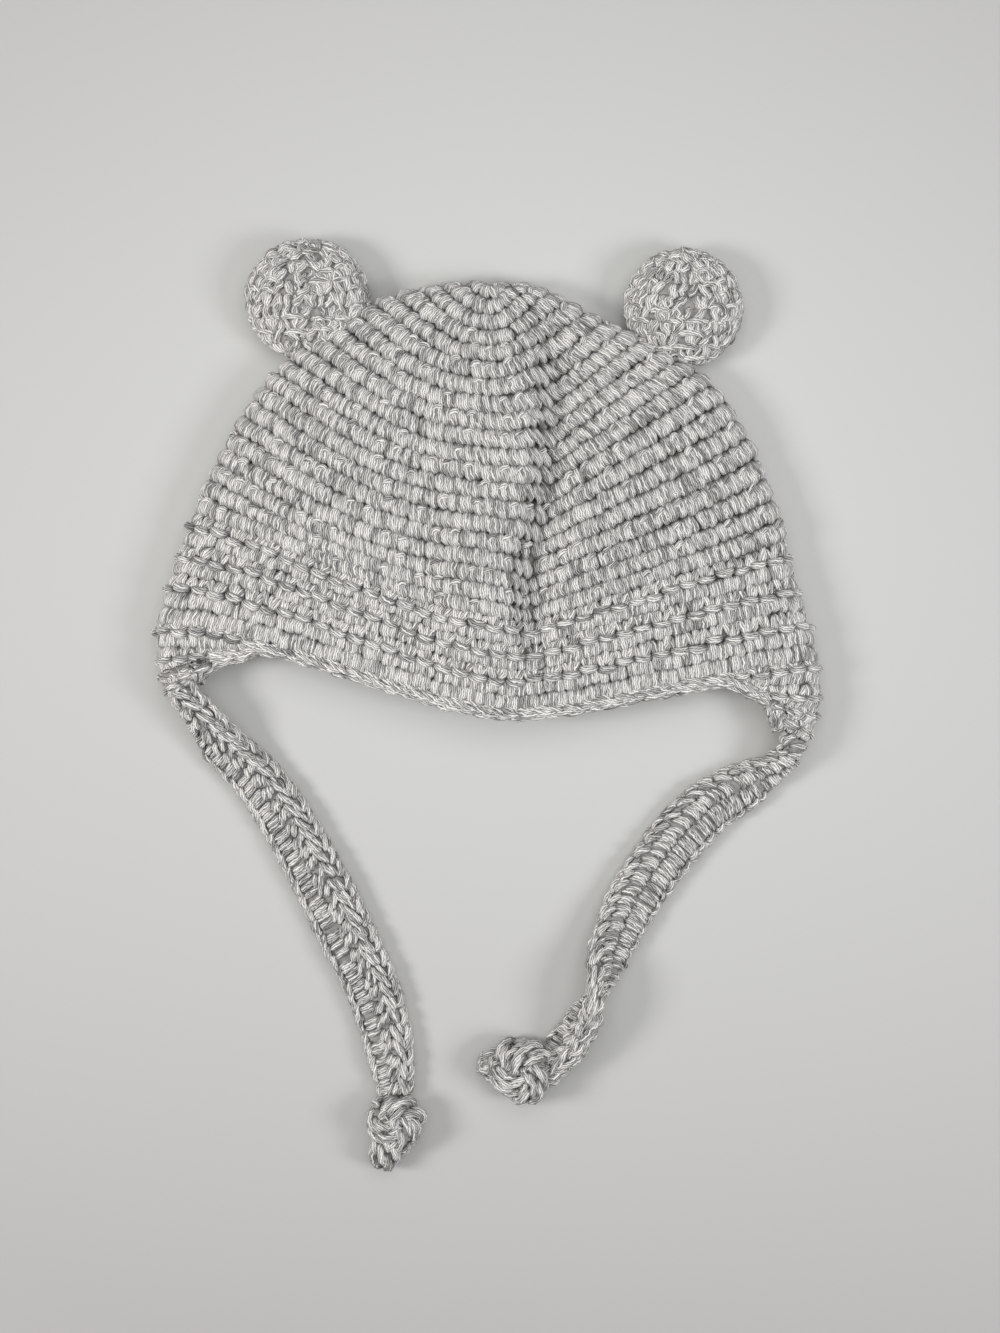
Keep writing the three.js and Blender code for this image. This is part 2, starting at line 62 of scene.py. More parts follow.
# Outline of the lying bonnet, from the crown down each side to the brim
CROWN = (1.0, 65.6)
LEFT_SIDE = (
    (-14.5, 64.8),
    (-31.5, 61.0),
    (-52.5, 49.5),
    (-69.5, 33.5),
    (-82.0, 13.0),
    (-91.0, -7.0),
    (-98.0, -26.5),
    (-101.3, -38.5),
)
RIGHT_SIDE = (
    (15.5, 64.0),
    (33.0, 55.5),
    (52.2, 46.0),
    (69.5, 33.5),
    (80.0, 16.0),
    (88.0, -3.0),
    (93.5, -24.0),
    (99.3, -44.0),
    (100.6, -50.0),
)
FRONT_POINT = (7.5, -64.2)

# Curve of the rows of stitches. drift and turn set how far down the fold a row ends, and slope is in degrees
# at the fold. The handles are shares of the half row's width: fold and brim at the fold, centre at the
# centre front. Pairs are for the crown and the brim
ROWS = {
    "left": {
        "drift": 0.4,
        "turn": 0.75,
        "slope": (44, 24),
        "fold": 0.43,
        "centre": (0.4, 0.4),
        "brim": 0.3,
    },
    "right": {
        "drift": -0.1,
        "turn": 1.2,
        "slope": (42, 24),
        "fold": 0.44,
        "centre": (0.15, 0.2),
        "brim": 0.22,
    },
}
TO_BRIM = 0.64  # share of the way down from which the rows turn into the brim's own curve
BRIM_CENTRE_HANDLE = 0.2

# Pleat down the centre front, the valley on its right and the dent on its left
PLEAT = {"x": 5.5, "upper_x": 12.0, "height": 5.6, "left": 19.0, "right": 4.4}
PLEAT_LEAN = (-25.0, 10.0)
PLEAT_SPAN = {"top": 60.0, "full": 36.0, "fade": -34.0, "end": -58.0}
VALLEY = {"depth": 3.3, "offset": 9.0, "reach": 10.0}
CREASE = {"depth": 1.7, "offset": 6.5, "reach": 3.0}  # the narrow bottom of the valley
# How far each row dips into the crease, and between which shares of the way down the dip starts and ends
ROW_DIP = {"depth": 5.0, "reach": 14.0, "starts": (0.12, 0.4), "ends": (0.65, 1)}
DENT = {"x": -18.5, "y": -14.0, "depth": 1.8, "half_width": 5.0, "half_length": 26.0}

# Flaps and edging. Corners are in shares of the way round the cap, stations are rows of STRIPS
FLAP_CORNER = {"left": 0.085, "right": 0.0725}
FLAP_BLEND = 0.4
FLAP_STATIONS = 4
RIM_RUN = 4.0  # how far a flap's start follows the cap's own direction
ABOVE_RIM = 0.98  # share of the way down from which the rim's direction is taken
TIE_START_GAP = 0.008
EDGING_ON_FLAP = (0.96, 0.85, 0.74, 0.62, 0.5, 0.4, 0.3, 0.2, 0.1)
EDGING_MARGIN = 0.014  # share of the way round that the brim's chain keeps from a flap's corner

# Flap and tie of each side as one strip: middle x and y, half width, and in degrees the bend round its
# middle and its roll
STRIPS = {
    "left": (
        (-99.3, -43.5, 29.0, 180, 90),
        (-99.2, -49.4, 17.0, 180, 90),
        (-98.2, -55.0, 12.0, 180, 90),
        (-95.4, -60.2, 8.4, 160, 80),
        (-90.6, -65.6, 6.8, 100, 52),
        (-79.6, -77.6, 6.6, 20, 12),
        (-72.6, -84.3, 6.8, 0, 0),
        (-63.1, -97.3, 7.5, 0, 0),
        (-50.9, -119.3, 8.0, 0, 0),
        (-41.3, -138.5, 7.9, 0, 0),
        (-34.9, -152.4, 7.4, 0, 0),
        (-31.7, -163.6, 6.9, 0, 0),
        (-29.9, -172.2, 6.2, 0, 0),
        (-28.8, -183.0, 4.6, 30, 0),
    ),
    "right": (
        (98.8, -54.6, 23.0, 180, 90),
        (99.0, -60.6, 15.4, 180, 90),
        (97.8, -67.4, 11.8, 180, 90),
        (95.2, -73.8, 8.0, 165, 84),
        (91.6, -79.6, 5.2, 110, 58),
        (85.4, -84.0, 4.2, 30, 20),
        (79.4, -87.6, 6.5, 0, 0),
        (66.1, -95.8, 7.8, 0, 0),
        (52.9, -110.4, 7.8, 0, 0),
        (43.5, -124.5, 7.5, 0, 6),
        (37.4, -137.6, 6.6, 0, 24),
        (33.9, -148.7, 6.2, 0, 66),
        (29.4, -157.6, 6.2, 0, 116),
        (24.2, -166.4, 6.2, 0, 138),
        (15.5, -176.6, 4.6, 0, 142),
    ),
}

# Ears: middle x and y, half the width and half the height
EARS = {"ear_left": (-55.2, 60.4, 18.6, 18.2), "ear_right": (59.3, 57.8, 17.8, 17.8)}
EAR_THICKNESS = 13.0
EAR_FOOT = 1.2
EAR_FULLNESS = 0.2
EAR_LEAN = 64  # degrees from the face's middle to the start of the rounds

# Knots: middle, size, turn in degrees, and where the tail's end lies from the middle
KNOTS = {
    "knot_left": (-28.4, -190.8, 0.78, 150, (-4.5, -13.5)),
    "knot_right": (10.0, -174.6, 0.95, 30, (-12.5, 1.5)),
}
KNOT_RUN = {"across": 2.35, "up": 2.9}

# Gauge of the crochet and its rows. Each round starts ROUND_PHASE stitches after the one above it
STITCH = 5.5
ROUND = 4.7
TIE_STITCH = 4.4
ROUNDS = 20
ROUND_PHASE = 0.37
BAND_START = 0.776
BAND_PAIRS = 3

# Rows and columns of the grids of places, the columns of a flap's straightened face, the uppermost row's
# share of the way down the cap, and the steps along and across a strip over which its directions are taken
CAP_GRID = (201, 641)
CAP_GROUND_GRID = (48, 181)
FLAP_GRID = (61, 61)
FLAP_COLUMNS = 81
TIE_GRID = (240, 65)
EAR_GRID = (120, 97)
TOP_ROW = 0.004
SHARE_STEP = 0.002
WIDTH_STEP = 0.02


def mix(a, b, t):
    return a + (b - a) * t


def smooth(value, low, high):
    t = np.clip((value - low) / (high - low), 0, 1)
    return t * t * (3 - 2 * t)


def bell(distance, reach):
    return np.exp(-((distance / reach) ** 2))


def unit(vectors):
    return vectors / np.maximum(np.linalg.norm(vectors, axis=-1, keepdims=True), 1e-9)


# Curves


def through(places, per_span=30):
    """Points along the centripetal Catmull-Rom curve through the places."""
    p = np.asarray(places, float)
    ends = [2 * p[0] - p[1], 2 * p[-1] - p[-2]]
    p = np.vstack([ends[0], p, ends[1]])
    t = np.linspace(0, 1, per_span, endpoint=False)[:, None]
    out = []
    for i in range(1, len(p) - 2):
        p0, p1, p2, p3 = p[i - 1 : i + 3]
        d0, d1, d2 = (math.sqrt(np.linalg.norm(b - a)) for a, b in ((p0, p1), (p1, p2), (p2, p3)))
        m1 = d1 * ((p1 - p0) / d0 - (p2 - p0) / (d0 + d1) + (p2 - p1) / d1)
        m2 = d1 * ((p2 - p1) / d1 - (p3 - p1) / (d1 + d2) + (p3 - p2) / d2)
        cubic = (2 * p1 - 2 * p2 + m1 + m2) * t**3 + (3 * p2 - 3 * p1 - 2 * m1 - m2) * t**2
        out.append(cubic + m1 * t + p1)
    return np.vstack([*out, p[-2][None]])


def lengths(line):
    """Distance along a line of points, at each of them."""
    return np.concatenate([[0], np.cumsum(np.linalg.norm(np.diff(line, axis=0), axis=1))])


def read_at(values, known, wanted):
    """Rows of values that are known at some distances, read at the wanted ones."""
    return np.stack([np.interp(wanted, known, values[:, k]) for k in range(values.shape[1])], axis=-1)


def along(line, distances):
    """Points at the given distances along a line of points."""
    return read_at(line, lengths(line), distances)


def even(places, count):
    """count points, evenly apart, on the curve through the places."""
    line = through(places)
    return along(line, np.linspace(0, lengths(line)[-1], count))


def bezier(a, b, c, d, count=60):
    t = np.linspace(0, 1, count)[:, None]
    return (1 - t) ** 3 * a + 3 * (1 - t) ** 2 * t * b + 3 * (1 - t) * t**2 * c + t**3 * d


# The bonnet's form, as in the solids

SIDES = {
    "left": through((CROWN, *LEFT_SIDE)),
    "right": through((CROWN, *RIGHT_SIDE)),
}
BELOW_BRIM = np.array((0, -60.0))


def fold_line():
    """The folded edge seen from above, carried on past the brim along the flaps."""
    left, right = SIDES["left"][::-1], SIDES["right"]
    return np.vstack([left[0] + BELOW_BRIM, left, right[1:], right[-1] + BELOW_BRIM])


FOLD = fold_line()


def distance_to_fold(xy):
    start, step = FOLD[:-1], np.diff(FOLD, axis=0)
    squared = np.maximum((step**2).sum(1), 1e-12)
    out = np.empty(len(xy))
    for i in range(0, len(xy), 2000):
        to = xy[i : i + 2000, None] - start[None]
        t = np.clip((to * step).sum(2) / squared, 0, 1)
        out[i : i + 2000] = np.linalg.norm(to - step * t[..., None], axis=2).min(1)
    return out


def ridge_x(y):
    """The pleat's ridge leans to the right towards the crown."""
    return mix(PLEAT["x"], PLEAT["upper_x"], smooth(y, *PLEAT_LEAN))


def pleat_height(x, y):
    span = (1 - smooth(y, PLEAT_SPAN["full"], PLEAT_SPAN["top"])) * smooth(
        y, PLEAT_SPAN["end"], PLEAT_SPAN["fade"]
    )
    across = x - ridge_x(y)
    ridge = PLEAT["height"] * bell(across, np.where(across < 0, PLEAT["left"], PLEAT["right"]))
    valley = VALLEY["depth"] * bell(across - VALLEY["offset"], VALLEY["reach"])
    valley = valley + CREASE["depth"] * bell(across - CREASE["offset"], CREASE["reach"])
    dent = DENT["depth"] * bell(x - DENT["x"], DENT["half_width"]) * bell(y - DENT["y"], DENT["half_length"])
    return span * (ridge - valley) - dent


def row_line(share):
    """One row of stitches seen from above, from the left fold through the centre front to the right fold."""
    centre = mix(np.array(CROWN), np.array(FRONT_POINT), share)
    to_brim = smooth(share, TO_BRIM, 1)
    halves = []
    for side, sign in (("left", 1), ("right", -1)):
        line = SIDES[side]
        curve = ROWS[side]
        fold_share = share + curve["drift"] * share * (1 - share) * (curve["turn"] - share)
        start = along(line, lengths(line)[-1] * np.clip(fold_share, 0, 1))
        slope = math.radians(mix(*curve["slope"], share) * (1 - to_brim))
        width = abs(centre[0] - start[0])
        fold_handle = mix(curve["fold"], curve["brim"], to_brim)
        at_fold = start + fold_handle * width * np.array((sign, -math.tan(slope)))
        centre_handle = mix(mix(*curve["centre"], share), BRIM_CENTRE_HANDLE, to_brim)
        near_centre = centre - np.array((sign * centre_handle * width, 0))
        halves.append(bezier(start, at_fold, near_centre, centre))
    row = np.vstack([halves[0], halves[1][::-1][1:]])
    off_crease = np.abs(row[:, 0] - ridge_x(row[:, 1]) - CREASE["offset"])
    pleated = smooth(share, *ROW_DIP["starts"]) * (1 - smooth(share, *ROW_DIP["ends"]))
    row[:, 1] -= pleated * ROW_DIP["depth"] * np.exp(-off_crease / ROW_DIP["reach"])
    return row


def outside(share, turns):
    """Places on the outside along one row: the front from turn 0 to 0.5, then the underside back to 1."""
    whole = turns % 1
    upper = whole < 0.5
    place = np.where(upper, whole * 2, 2 - whole * 2)
    line = row_line(share)
    length = lengths(line)[-1]
    radius = min(FOLD_RADIUS, length / 4)
    developed = length + (math.pi - 2) * radius
    from_fold = np.minimum(place, 1 - place) * developed
    quarter = math.pi / 2 * radius
    bent = radius * (1 - np.cos(np.minimum(from_fold, quarter) / radius))
    run = np.where(from_fold > quarter, radius + from_fold - quarter, bent)
    xy = along(line, np.where(place < 0.5, run, length - run))
    inside = distance_to_fold(xy)
    rise = FOLD_RADIUS * np.sqrt(1 - (1 - np.minimum(inside / FOLD_RADIUS, 1)) ** 2)
    puff = PUFF * (1 - np.exp(-((inside / PUFF_REACH) ** PUFF_POWER)))
    puff = puff * (1 - BRIM_SAG * smooth(share, SAG_START, 1))
    relief = pleat_height(xy[:, 0], xy[:, 1]) * smooth(inside, *RELIEF_FADE)
    z = np.where(upper, FOLD_RADIUS + rise + puff + relief, FOLD_RADIUS - rise)
    return np.column_stack([xy, z])


class Skin:
    """A face of the fabric as a grid of places. s goes down its rows and u along them, both from 0 to 1."""

    def __init__(self, points, closed=False, flip=False):
        self.points = points
        self.closed = closed
        down = np.gradient(points, axis=0)
        if closed:
            ring = np.concatenate([points[:, -2:-1], points, points[:, 1:2]], axis=1)
            side = (ring[:, 2:] - ring[:, :-2]) / 2
        else:
            side = np.gradient(points, axis=1)
        normals = unit(np.cross(down, side))
        if closed:
            outward = (normals * (points - points[:, :-1].mean(1, keepdims=True))).sum() > 0
            flip = flip == outward
        self.normals = -normals if flip else normals

    def sunk(self, depth):
        """The grid of places at a depth under the skin."""
        return self.points - self.normals * depth

    def at(self, s, u, height=0.0):
        """Places at a height over the skin, and the skin's outward directions there."""
        rows, columns = self.points.shape[:2]
        u = u % 1 if self.closed else np.clip(u, 0, 1)
        i = np.clip(s, 0, 1) * (rows - 1)
        j = u * (columns - 1)
        i0 = np.minimum(i.astype(int), rows - 2)
        j0 = np.minimum(j.astype(int), columns - 2)
        a, b = (i - i0)[..., None], (j - j0)[..., None]

        def read(grid):
            top = mix(grid[i0, j0], grid[i0, j0 + 1], b)
            return mix(top, mix(grid[i0 + 1, j0], grid[i0 + 1, j0 + 1], b), a)

        normals = unit(read(self.normals))
        return read(self.points) + normals * np.asarray(height)[..., None], normals

    def row_length(self, s):
        """Length of the row at s. Its end is read just before 1, because a closed row starts again there."""
        u = np.linspace(0, 1, 200)
        places, _ = self.at(np.full(len(u), s), np.where(u == 1, 0.99999, u))
        return np.linalg.norm(np.diff(places, axis=0), axis=1).sum()


def rim_share(turns):
    """How far down the fabric reaches: between the flaps the lower layer ends a little before the upper."""
    turns = turns % 1
    left = smooth(1 - turns, FLAP_CORNER["left"], FLAP_CORNER["left"] + RIM_FADE)
    right = smooth(turns - 0.5, FLAP_CORNER["right"], FLAP_CORNER["right"] + RIM_FADE)
    return np.where(turns < 0.5, 1, 1 - BACK_SHORTER * left * right)


def cap_skin():
    rows, columns = CAP_GRID
    turns = np.linspace(0, 1, columns)
    turns[-1] = 0
    shares = np.concatenate([[TOP_ROW], np.linspace(0.01, 1, 150)])
    grid = np.stack([outside(share, turns) for share in shares])
    # The rows are spaced evenly, and the lower layer is shortened
    wanted = np.linspace(TOP_ROW, 1, rows)
    spaced = [read_at(grid[:, j], shares, wanted * limit) for j, limit in enumerate(rim_share(turns))]
    return Skin(np.stack(spaced, axis=1), closed=True)


def cap_rim(cap, turns, height=0.0):
    """Places on the cap's rim, the outward directions there and the directions down past the rim."""
    ones = np.ones(len(turns))
    rim, normals = cap.at(ones, turns, height)
    above, _ = cap.at(ones * ABOVE_RIM, turns, height)
    return rim, normals, unit(rim - above)


def bent_section(distance, bend, roll, radius):
    """A strip's section folded round its middle: how far across and up each distance from the middle lies."""
    on_bend = np.clip(distance, -bend / 2 * radius, bend / 2 * radius)
    angle = roll - on_bend / radius
    straight = distance - on_bend
    across = radius * (math.sin(roll) - np.sin(angle)) + straight * np.cos(angle)
    up = radius * (np.cos(angle) - math.cos(roll)) + straight * np.sin(angle)
    return across, up


def station_values(side, shares, column):
    values = np.array(STRIPS[side], float)[:, column]
    return np.interp(np.clip(shares, 0, 1) * (len(values) - 1), np.arange(len(values)), values)


def strip_middle(side, thickness, shares, widths):
    """Middle surface of a strip: rows of places across it, one for each share of its length."""
    stations = np.array(STRIPS[side], float)
    sign = 1 if side == "left" else -1
    per_span = 40
    track = through(stations[:, :2], per_span)
    tracked = np.column_stack([track, np.gradient(track, axis=0)])
    fine = np.arange(len(track)) / per_span / (len(stations) - 1)
    shares = np.clip(shares, 0, 1)
    halves, bends, rolls = (station_values(side, shares, column) for column in (2, 3, 4))
    radius = FOLD_RADIUS - WALL / 2
    rows = []
    for i, row_widths in enumerate(np.broadcast_to(widths, (len(shares), np.shape(widths)[-1]))):
        x, y, dx, dy = read_at(tracked, fine, shares[i])
        bend = math.radians(bends[i])
        roll = math.radians(rolls[i])
        _, ups = bent_section(np.array((-1, 0, 1)) * halves[i], bend, roll, radius)
        across, up = bent_section(row_widths * halves[i], bend, roll, radius)
        lateral = sign * unit(np.array((-dy, dx)))
        xy = np.array((x, y)) + across[:, None] * lateral
        rows.append(np.column_stack([xy, thickness / 2 + up - ups.min()]))
    return np.stack(rows)


def strip_frame(side, thickness, shares, widths):
    """A strip's middle surface, and the directions there that lead out of the bonnet."""
    sign = 1 if side == "left" else -1

    def middle(share_step=0.0, width_step=0.0):
        return strip_middle(side, thickness, shares + share_step, widths + width_step)

    down = middle(share_step=SHARE_STEP) - middle(share_step=-SHARE_STEP)
    over = middle(width_step=WIDTH_STEP) - middle(width_step=-WIDTH_STEP)
    return middle(), sign * unit(np.cross(down, over))


def flap_faces(side, cap):
    """A flap's two faces: they start at the cap's rim and narrow, still folded, towards the tie."""
    rows, columns = FLAP_GRID
    shares = np.linspace(0, 1, rows)
    widths = np.linspace(-1, 1, columns)
    flap_share = (FLAP_STATIONS - 1) / (len(STRIPS[side]) - 1)
    middle, out = strip_frame(side, WALL, shares * flap_share, widths)
    outer = middle + out * WALL / 2
    inner = middle - out * WALL / 2
    corner = FLAP_CORNER[side]
    turns = widths * corner if side == "left" else 0.5 - widths * corner
    rim, normals, down = cap_rim(cap, turns)
    beyond = (GAP + shares * RIM_RUN)[:, None, None]
    blend = smooth(shares, 0, FLAP_BLEND)[:, None, None]
    outer = mix(rim + down * beyond, outer, blend)
    inner = mix(rim - normals * WALL + down * beyond, inner, blend)
    return outer, inner


def tie_skin(side):
    """The outside of a tie, round its section from the middle of one edge, over the outer face and back."""
    rows, columns = TIE_GRID
    start = (FLAP_STATIONS - 1) / (len(STRIPS[side]) - 1) + TIE_START_GAP
    shares = np.linspace(start, 1, 400)
    run = lengths(strip_middle(side, TIE_THICKNESS, shares, np.zeros(1))[:, 0])
    shares = np.interp(np.linspace(0, run[-1], rows), run, shares)
    half = TIE_THICKNESS / 2
    flat = (station_values(side, shares, 2) - half)[:, None]
    quarter = math.pi / 2 * half
    over = 2 * flat + 2 * quarter
    turns = np.linspace(0, 1, columns)
    distance = np.minimum(turns, 1 - turns) * 2 * over
    first = np.clip(distance, 0, quarter) / half
    last = np.clip(distance - quarter - 2 * flat, 0, quarter) / half
    level = np.clip(distance - quarter, 0, 2 * flat)
    across = -flat - half * np.cos(first) + level + half * np.sin(last)
    up = np.where(last > 0, half * np.cos(last), half * np.sin(first)) * np.where(turns > 0.5, -1, 1)
    middle, out = strip_frame(side, TIE_THICKNESS, shares, across / (flat + half))
    line = strip_middle(side, TIE_THICKNESS, shares, np.zeros(1))[:, 0]
    return Skin(middle + out * up[..., None], closed=True), line


def tube_skin(line, ups, radius, columns=33):
    """A tube along a line, which goes round from the line's right side over the side of the ups."""
    tangents = unit(np.gradient(line, axis=0))
    side = unit(np.cross(tangents, ups))
    up = np.cross(side, tangents)
    angle = np.linspace(0, 2 * np.pi, columns)[None, :, None]
    radius = np.broadcast_to(radius, len(line))[:, None, None]
    ring = np.cos(angle) * side[:, None] + np.sin(angle) * up[:, None]
    return Skin(line[:, None] + ring * radius, closed=True)


# Strands of yarn

RINGS = 7
UNDER_SIDES = 6  # sides of the strands that lie underneath or inside
PLY = 0.74  # width of one ply of the yarn
FEWEST_PLIES = 4
# Depths below a strand's highest place between which painted shade darkens it where it dips between the
# stitches
PIT_SHADE_DEPTH = (0.5, 1.35)
# How unevenly strands are made: their radius as a share of it, their height in millimetres, and the length of
# yarn within which a strand's marl starts
RADIUS_SPREAD = 0.06
HEIGHT_SPREAD = 0.17
MARL_START = 40
# Radius at each ring as a share of the full one, thinner at the ends
TAPER = 0.6 + 0.4 * np.sin(np.pi * np.linspace(0.04, 0.96, RINGS)) ** 0.5


class Yarn:
    """Gathers strands of yarn and makes one mesh of them."""

    def __init__(self, seed, sides=8):
        self.random = np.random.default_rng(seed)
        self.sides = sides
        self.strands = []

    def add(self, centres, normals, radius, wide, depth):
        """Strands along rows of RINGS centres. wide is how much wider than high they are, depth their painted
        shade.
        """
        count = len(centres)
        radius = radius * self.random.normal(1, RADIUS_SPREAD, count)
        tone = self.random.random(count)
        self.strands.append((centres, normals, radius * wide, radius / wide, tone, depth))

    def lay(self, skin, s0, s1, u, pitch, shape, radius, spread, pitch_size=STITCH, wide=1.0):
        """One strand for each stitch at u. A shape is across in stitches, down in rows, up in millimetres."""
        scale = (pitch_size, ROUND, 1)
        x, y, z = (even(np.multiply(shape, scale), RINGS) / scale).T
        count = len(u)
        draw = self.random.normal
        x = x + draw(0, spread, (count, 1)) + draw(0, spread / 3, (count, RINGS))
        y = y + draw(0, spread, (count, 1))
        z = z + draw(0, HEIGHT_SPREAD, (count, 1))
        s0, s1 = (np.broadcast_to(s, count)[:, None] for s in (s0, s1))
        s = s0 + (s1 - s0) * y
        centres, normals = skin.at(s, u[:, None] + x * pitch, z)
        # How far each ring lies below the strand's highest place sets its painted shade
        self.add(centres, normals, radius, wide, smooth(z.max(1, keepdims=True) - z, *PIT_SHADE_DEPTH))

    def lay_down(self, skin, count, shape, radius, spread, pitch_size, pitch=1.0):
        """One strand for each of count stitches down a closed skin, placed from its first column."""
        s = np.arange(count) / count
        self.lay(skin, s, s + 1 / count, np.zeros(count), pitch, shape, radius, spread, pitch_size)

    def mesh(self, name, material):
        """All strands as one object. Its uv is in millimetres along a strand and in plies round it."""
        gathered = [np.concatenate(parts) for parts in zip(*self.strands)]
        centres, normals, radius, height, tone, depth = gathered
        count = len(centres)
        sides = self.sides
        tangents = unit(np.gradient(centres, axis=1))
        across = unit(np.cross(tangents, normals))
        up = np.cross(across, tangents)
        half_width = (radius[:, None] * TAPER)[..., None]
        half_height = (height[:, None] * TAPER)[..., None]
        angle = np.arange(sides) / sides * 2 * np.pi - np.pi / 2
        ring = (
            centres[:, :, None]
            + across[:, :, None] * (half_width * np.cos(angle))[..., None]
            + up[:, :, None] * (half_height * np.sin(angle))[..., None]
        )
        # The numbers of each face's points, and of each strand's two ends
        first = (np.arange(count) * RINGS * sides)[:, None, None] + np.arange(RINGS - 1)[:, None] * sides
        m = np.arange(sides)
        n = (m + 1) % sides
        numbers = (first + m, first + n, first + sides + n, first + sides + m)
        quads = np.stack(np.broadcast_arrays(*numbers), -1)
        caps = np.concatenate([first[:, 0] + m[::-1], first[:, -1] + sides + m])
        steps = np.linalg.norm(np.diff(centres, axis=1), axis=2)
        run = np.concatenate([np.zeros((count, 1)), np.cumsum(steps, axis=1)], axis=1)
        run = run + self.random.random((count, 1)) * MARL_START
        plies = np.maximum(np.round(2 * np.pi * radius / PLY), FEWEST_PLIES)[:, None, None]
        u0 = run[:, :-1, None]
        u1 = run[:, 1:, None]
        v0 = plies * m / sides
        v1 = plies * (m + 1) / sides
        corners = ((u0, v0), (u0, v1), (u1, v1), (u1, v0))
        uv = np.stack([np.stack(np.broadcast_arrays(*corner), -1) for corner in corners], 3)
        cap_uv = np.zeros((len(caps) * sides, 2))
        obj = make_mesh(name, ring.reshape(-1, 3), [quads.reshape(-1, 4), caps], material)
        layer = obj.data.uv_layers.new(name="yarn")
        layer.data.foreach_set("uv", np.vstack([uv.reshape(-1, 2), cap_uv]).astype(np.float32).ravel())
        # Each point carries the strand's random tone and its painted shade
        tone_and_pit_shade = {"tone": np.repeat(tone, RINGS * sides), "pit_shade": np.repeat(depth, sides)}
        for attribute, values in tone_and_pit_shade.items():
            layer = obj.data.attributes.new(attribute, "FLOAT", "POINT")
            layer.data.foreach_set("value", values.astype(np.float32))
        return obj


def make_mesh(name, points, face_groups, material):
    """A smooth mesh object from points in millimetres and groups of faces."""
    data = bpy.data.meshes.new(name)
    faces = [face for group in face_groups for face in group.tolist()]
    # Yarn that would reach below the floor is pressed flat on it
    points = np.column_stack([points[:, :2], np.maximum(points[:, 2], 0)])
    data.from_pydata((points * MM).tolist(), [], faces)
    data.polygons.foreach_set("use_smooth", np.ones(len(faces), bool))
    data.materials.append(material)
    obj = bpy.data.objects.new(name, data)
    bpy.context.scene.collection.objects.link(obj)
    return obj


def grid_quads(numbers, closed):
    """Faces between the rows and columns of a grid of point numbers."""
    if closed:
        numbers = np.concatenate([numbers, numbers[:, :1]], axis=1)
    corners = [numbers[:-1, :-1], numbers[:-1, 1:], numbers[1:, 1:], numbers[1:, :-1]]
    return np.stack(corners, -1).reshape(-1, 4)


def sheet_mesh(name, outer, inner, material, closed=False):
    """A closed body between two grids of places. closed grids repeat their first column as their last."""
    if closed:
        outer = outer[:, :-1]
        inner = inner[:, :-1]
    rows, columns = outer.shape[:2]
    index = np.arange(rows * columns).reshape(rows, columns)
    other = index + rows * columns

    def edge(a, b):
        if closed:
            a, b = np.append(a, a[0]), np.append(b, b[0])
        return np.stack([a[:-1], b[:-1], b[1:], a[1:]], -1)

    groups = [grid_quads(index, closed)[:, ::-1], grid_quads(other, closed)]
    groups += [edge(index[-1], other[-1]), edge(other[0], index[0])]
    if not closed:
        groups += [edge(index[:, 0], other[:, 0]), edge(other[:, -1], index[:, -1])]
    return make_mesh(name, np.vstack([outer.reshape(-1, 3), inner.reshape(-1, 3)]), groups, material)


# Materials

# The yarn's plies: how many pass for each millimetre along, by how many a noise shifts them, how sharp the
# grooves between them are, and how dark the painted shade in those grooves is
PLIES = {"twist": 0.3, "waver": 1.6, "sharpness": 2.5, "groove_shade": 0.62}
# The grey plies: how fast a ply changes along the yarn, the scale of the noise that picks them, the part of
# that noise where they turn grey, how dark all of them are, and how much darker they are in some strands
MARL = {"along": 0.1, "scale": 2.3, "from": 0.44, "to": 0.62, "dark": 0.42, "darker": 0.3}
STRAND_STEP = 53.0  # distance in the marl's noise between strands of the lowest and the highest tone
NOISE_SCALE = 700.0
# Near-black colour of the painted shade where strands dip between the stitches
PIT_SHADE_COLOUR = (0.045, 0.042, 0.04, 1)
# The inner yarn's colour is painted shade, and varies between these shares of it
GROUND_RANGE = (0.6, 1.3)  # shares of the inner yarn's colour between which it varies


def fill(material, node, inputs):
    """Sets a node's inputs to numbers and colours, or links them to other nodes' outputs."""
    for key, value in inputs:
        if isinstance(value, bpy.types.NodeSocket):
            material.node_tree.links.new(value, node.inputs[key])
        else:
            node.inputs[key].default_value = value


def add_node(material, kind, inputs=(), **settings):
    node = material.node_tree.nodes.new(kind)
    for key, value in settings.items():
        setattr(node, key, value)
    fill(material, node, inputs)
    return node


def colour_between(material, share, low, high):
    """A colour that goes from low to high as the share goes from 0 to 1."""
    ramp = add_node(material, "ShaderNodeValToRGB", (("Fac", share),))
    for element, colour in zip(ramp.color_ramp.elements, (low, high)):
        element.color = (*colour, 1)
    return ramp.outputs[0]


def new_material(name):
    material = bpy.data.materials.new(name)
    material.use_nodes = True
    return material


def fill_shader(material, inputs):
    fill(material, material.node_tree.nodes["Principled BSDF"], inputs)


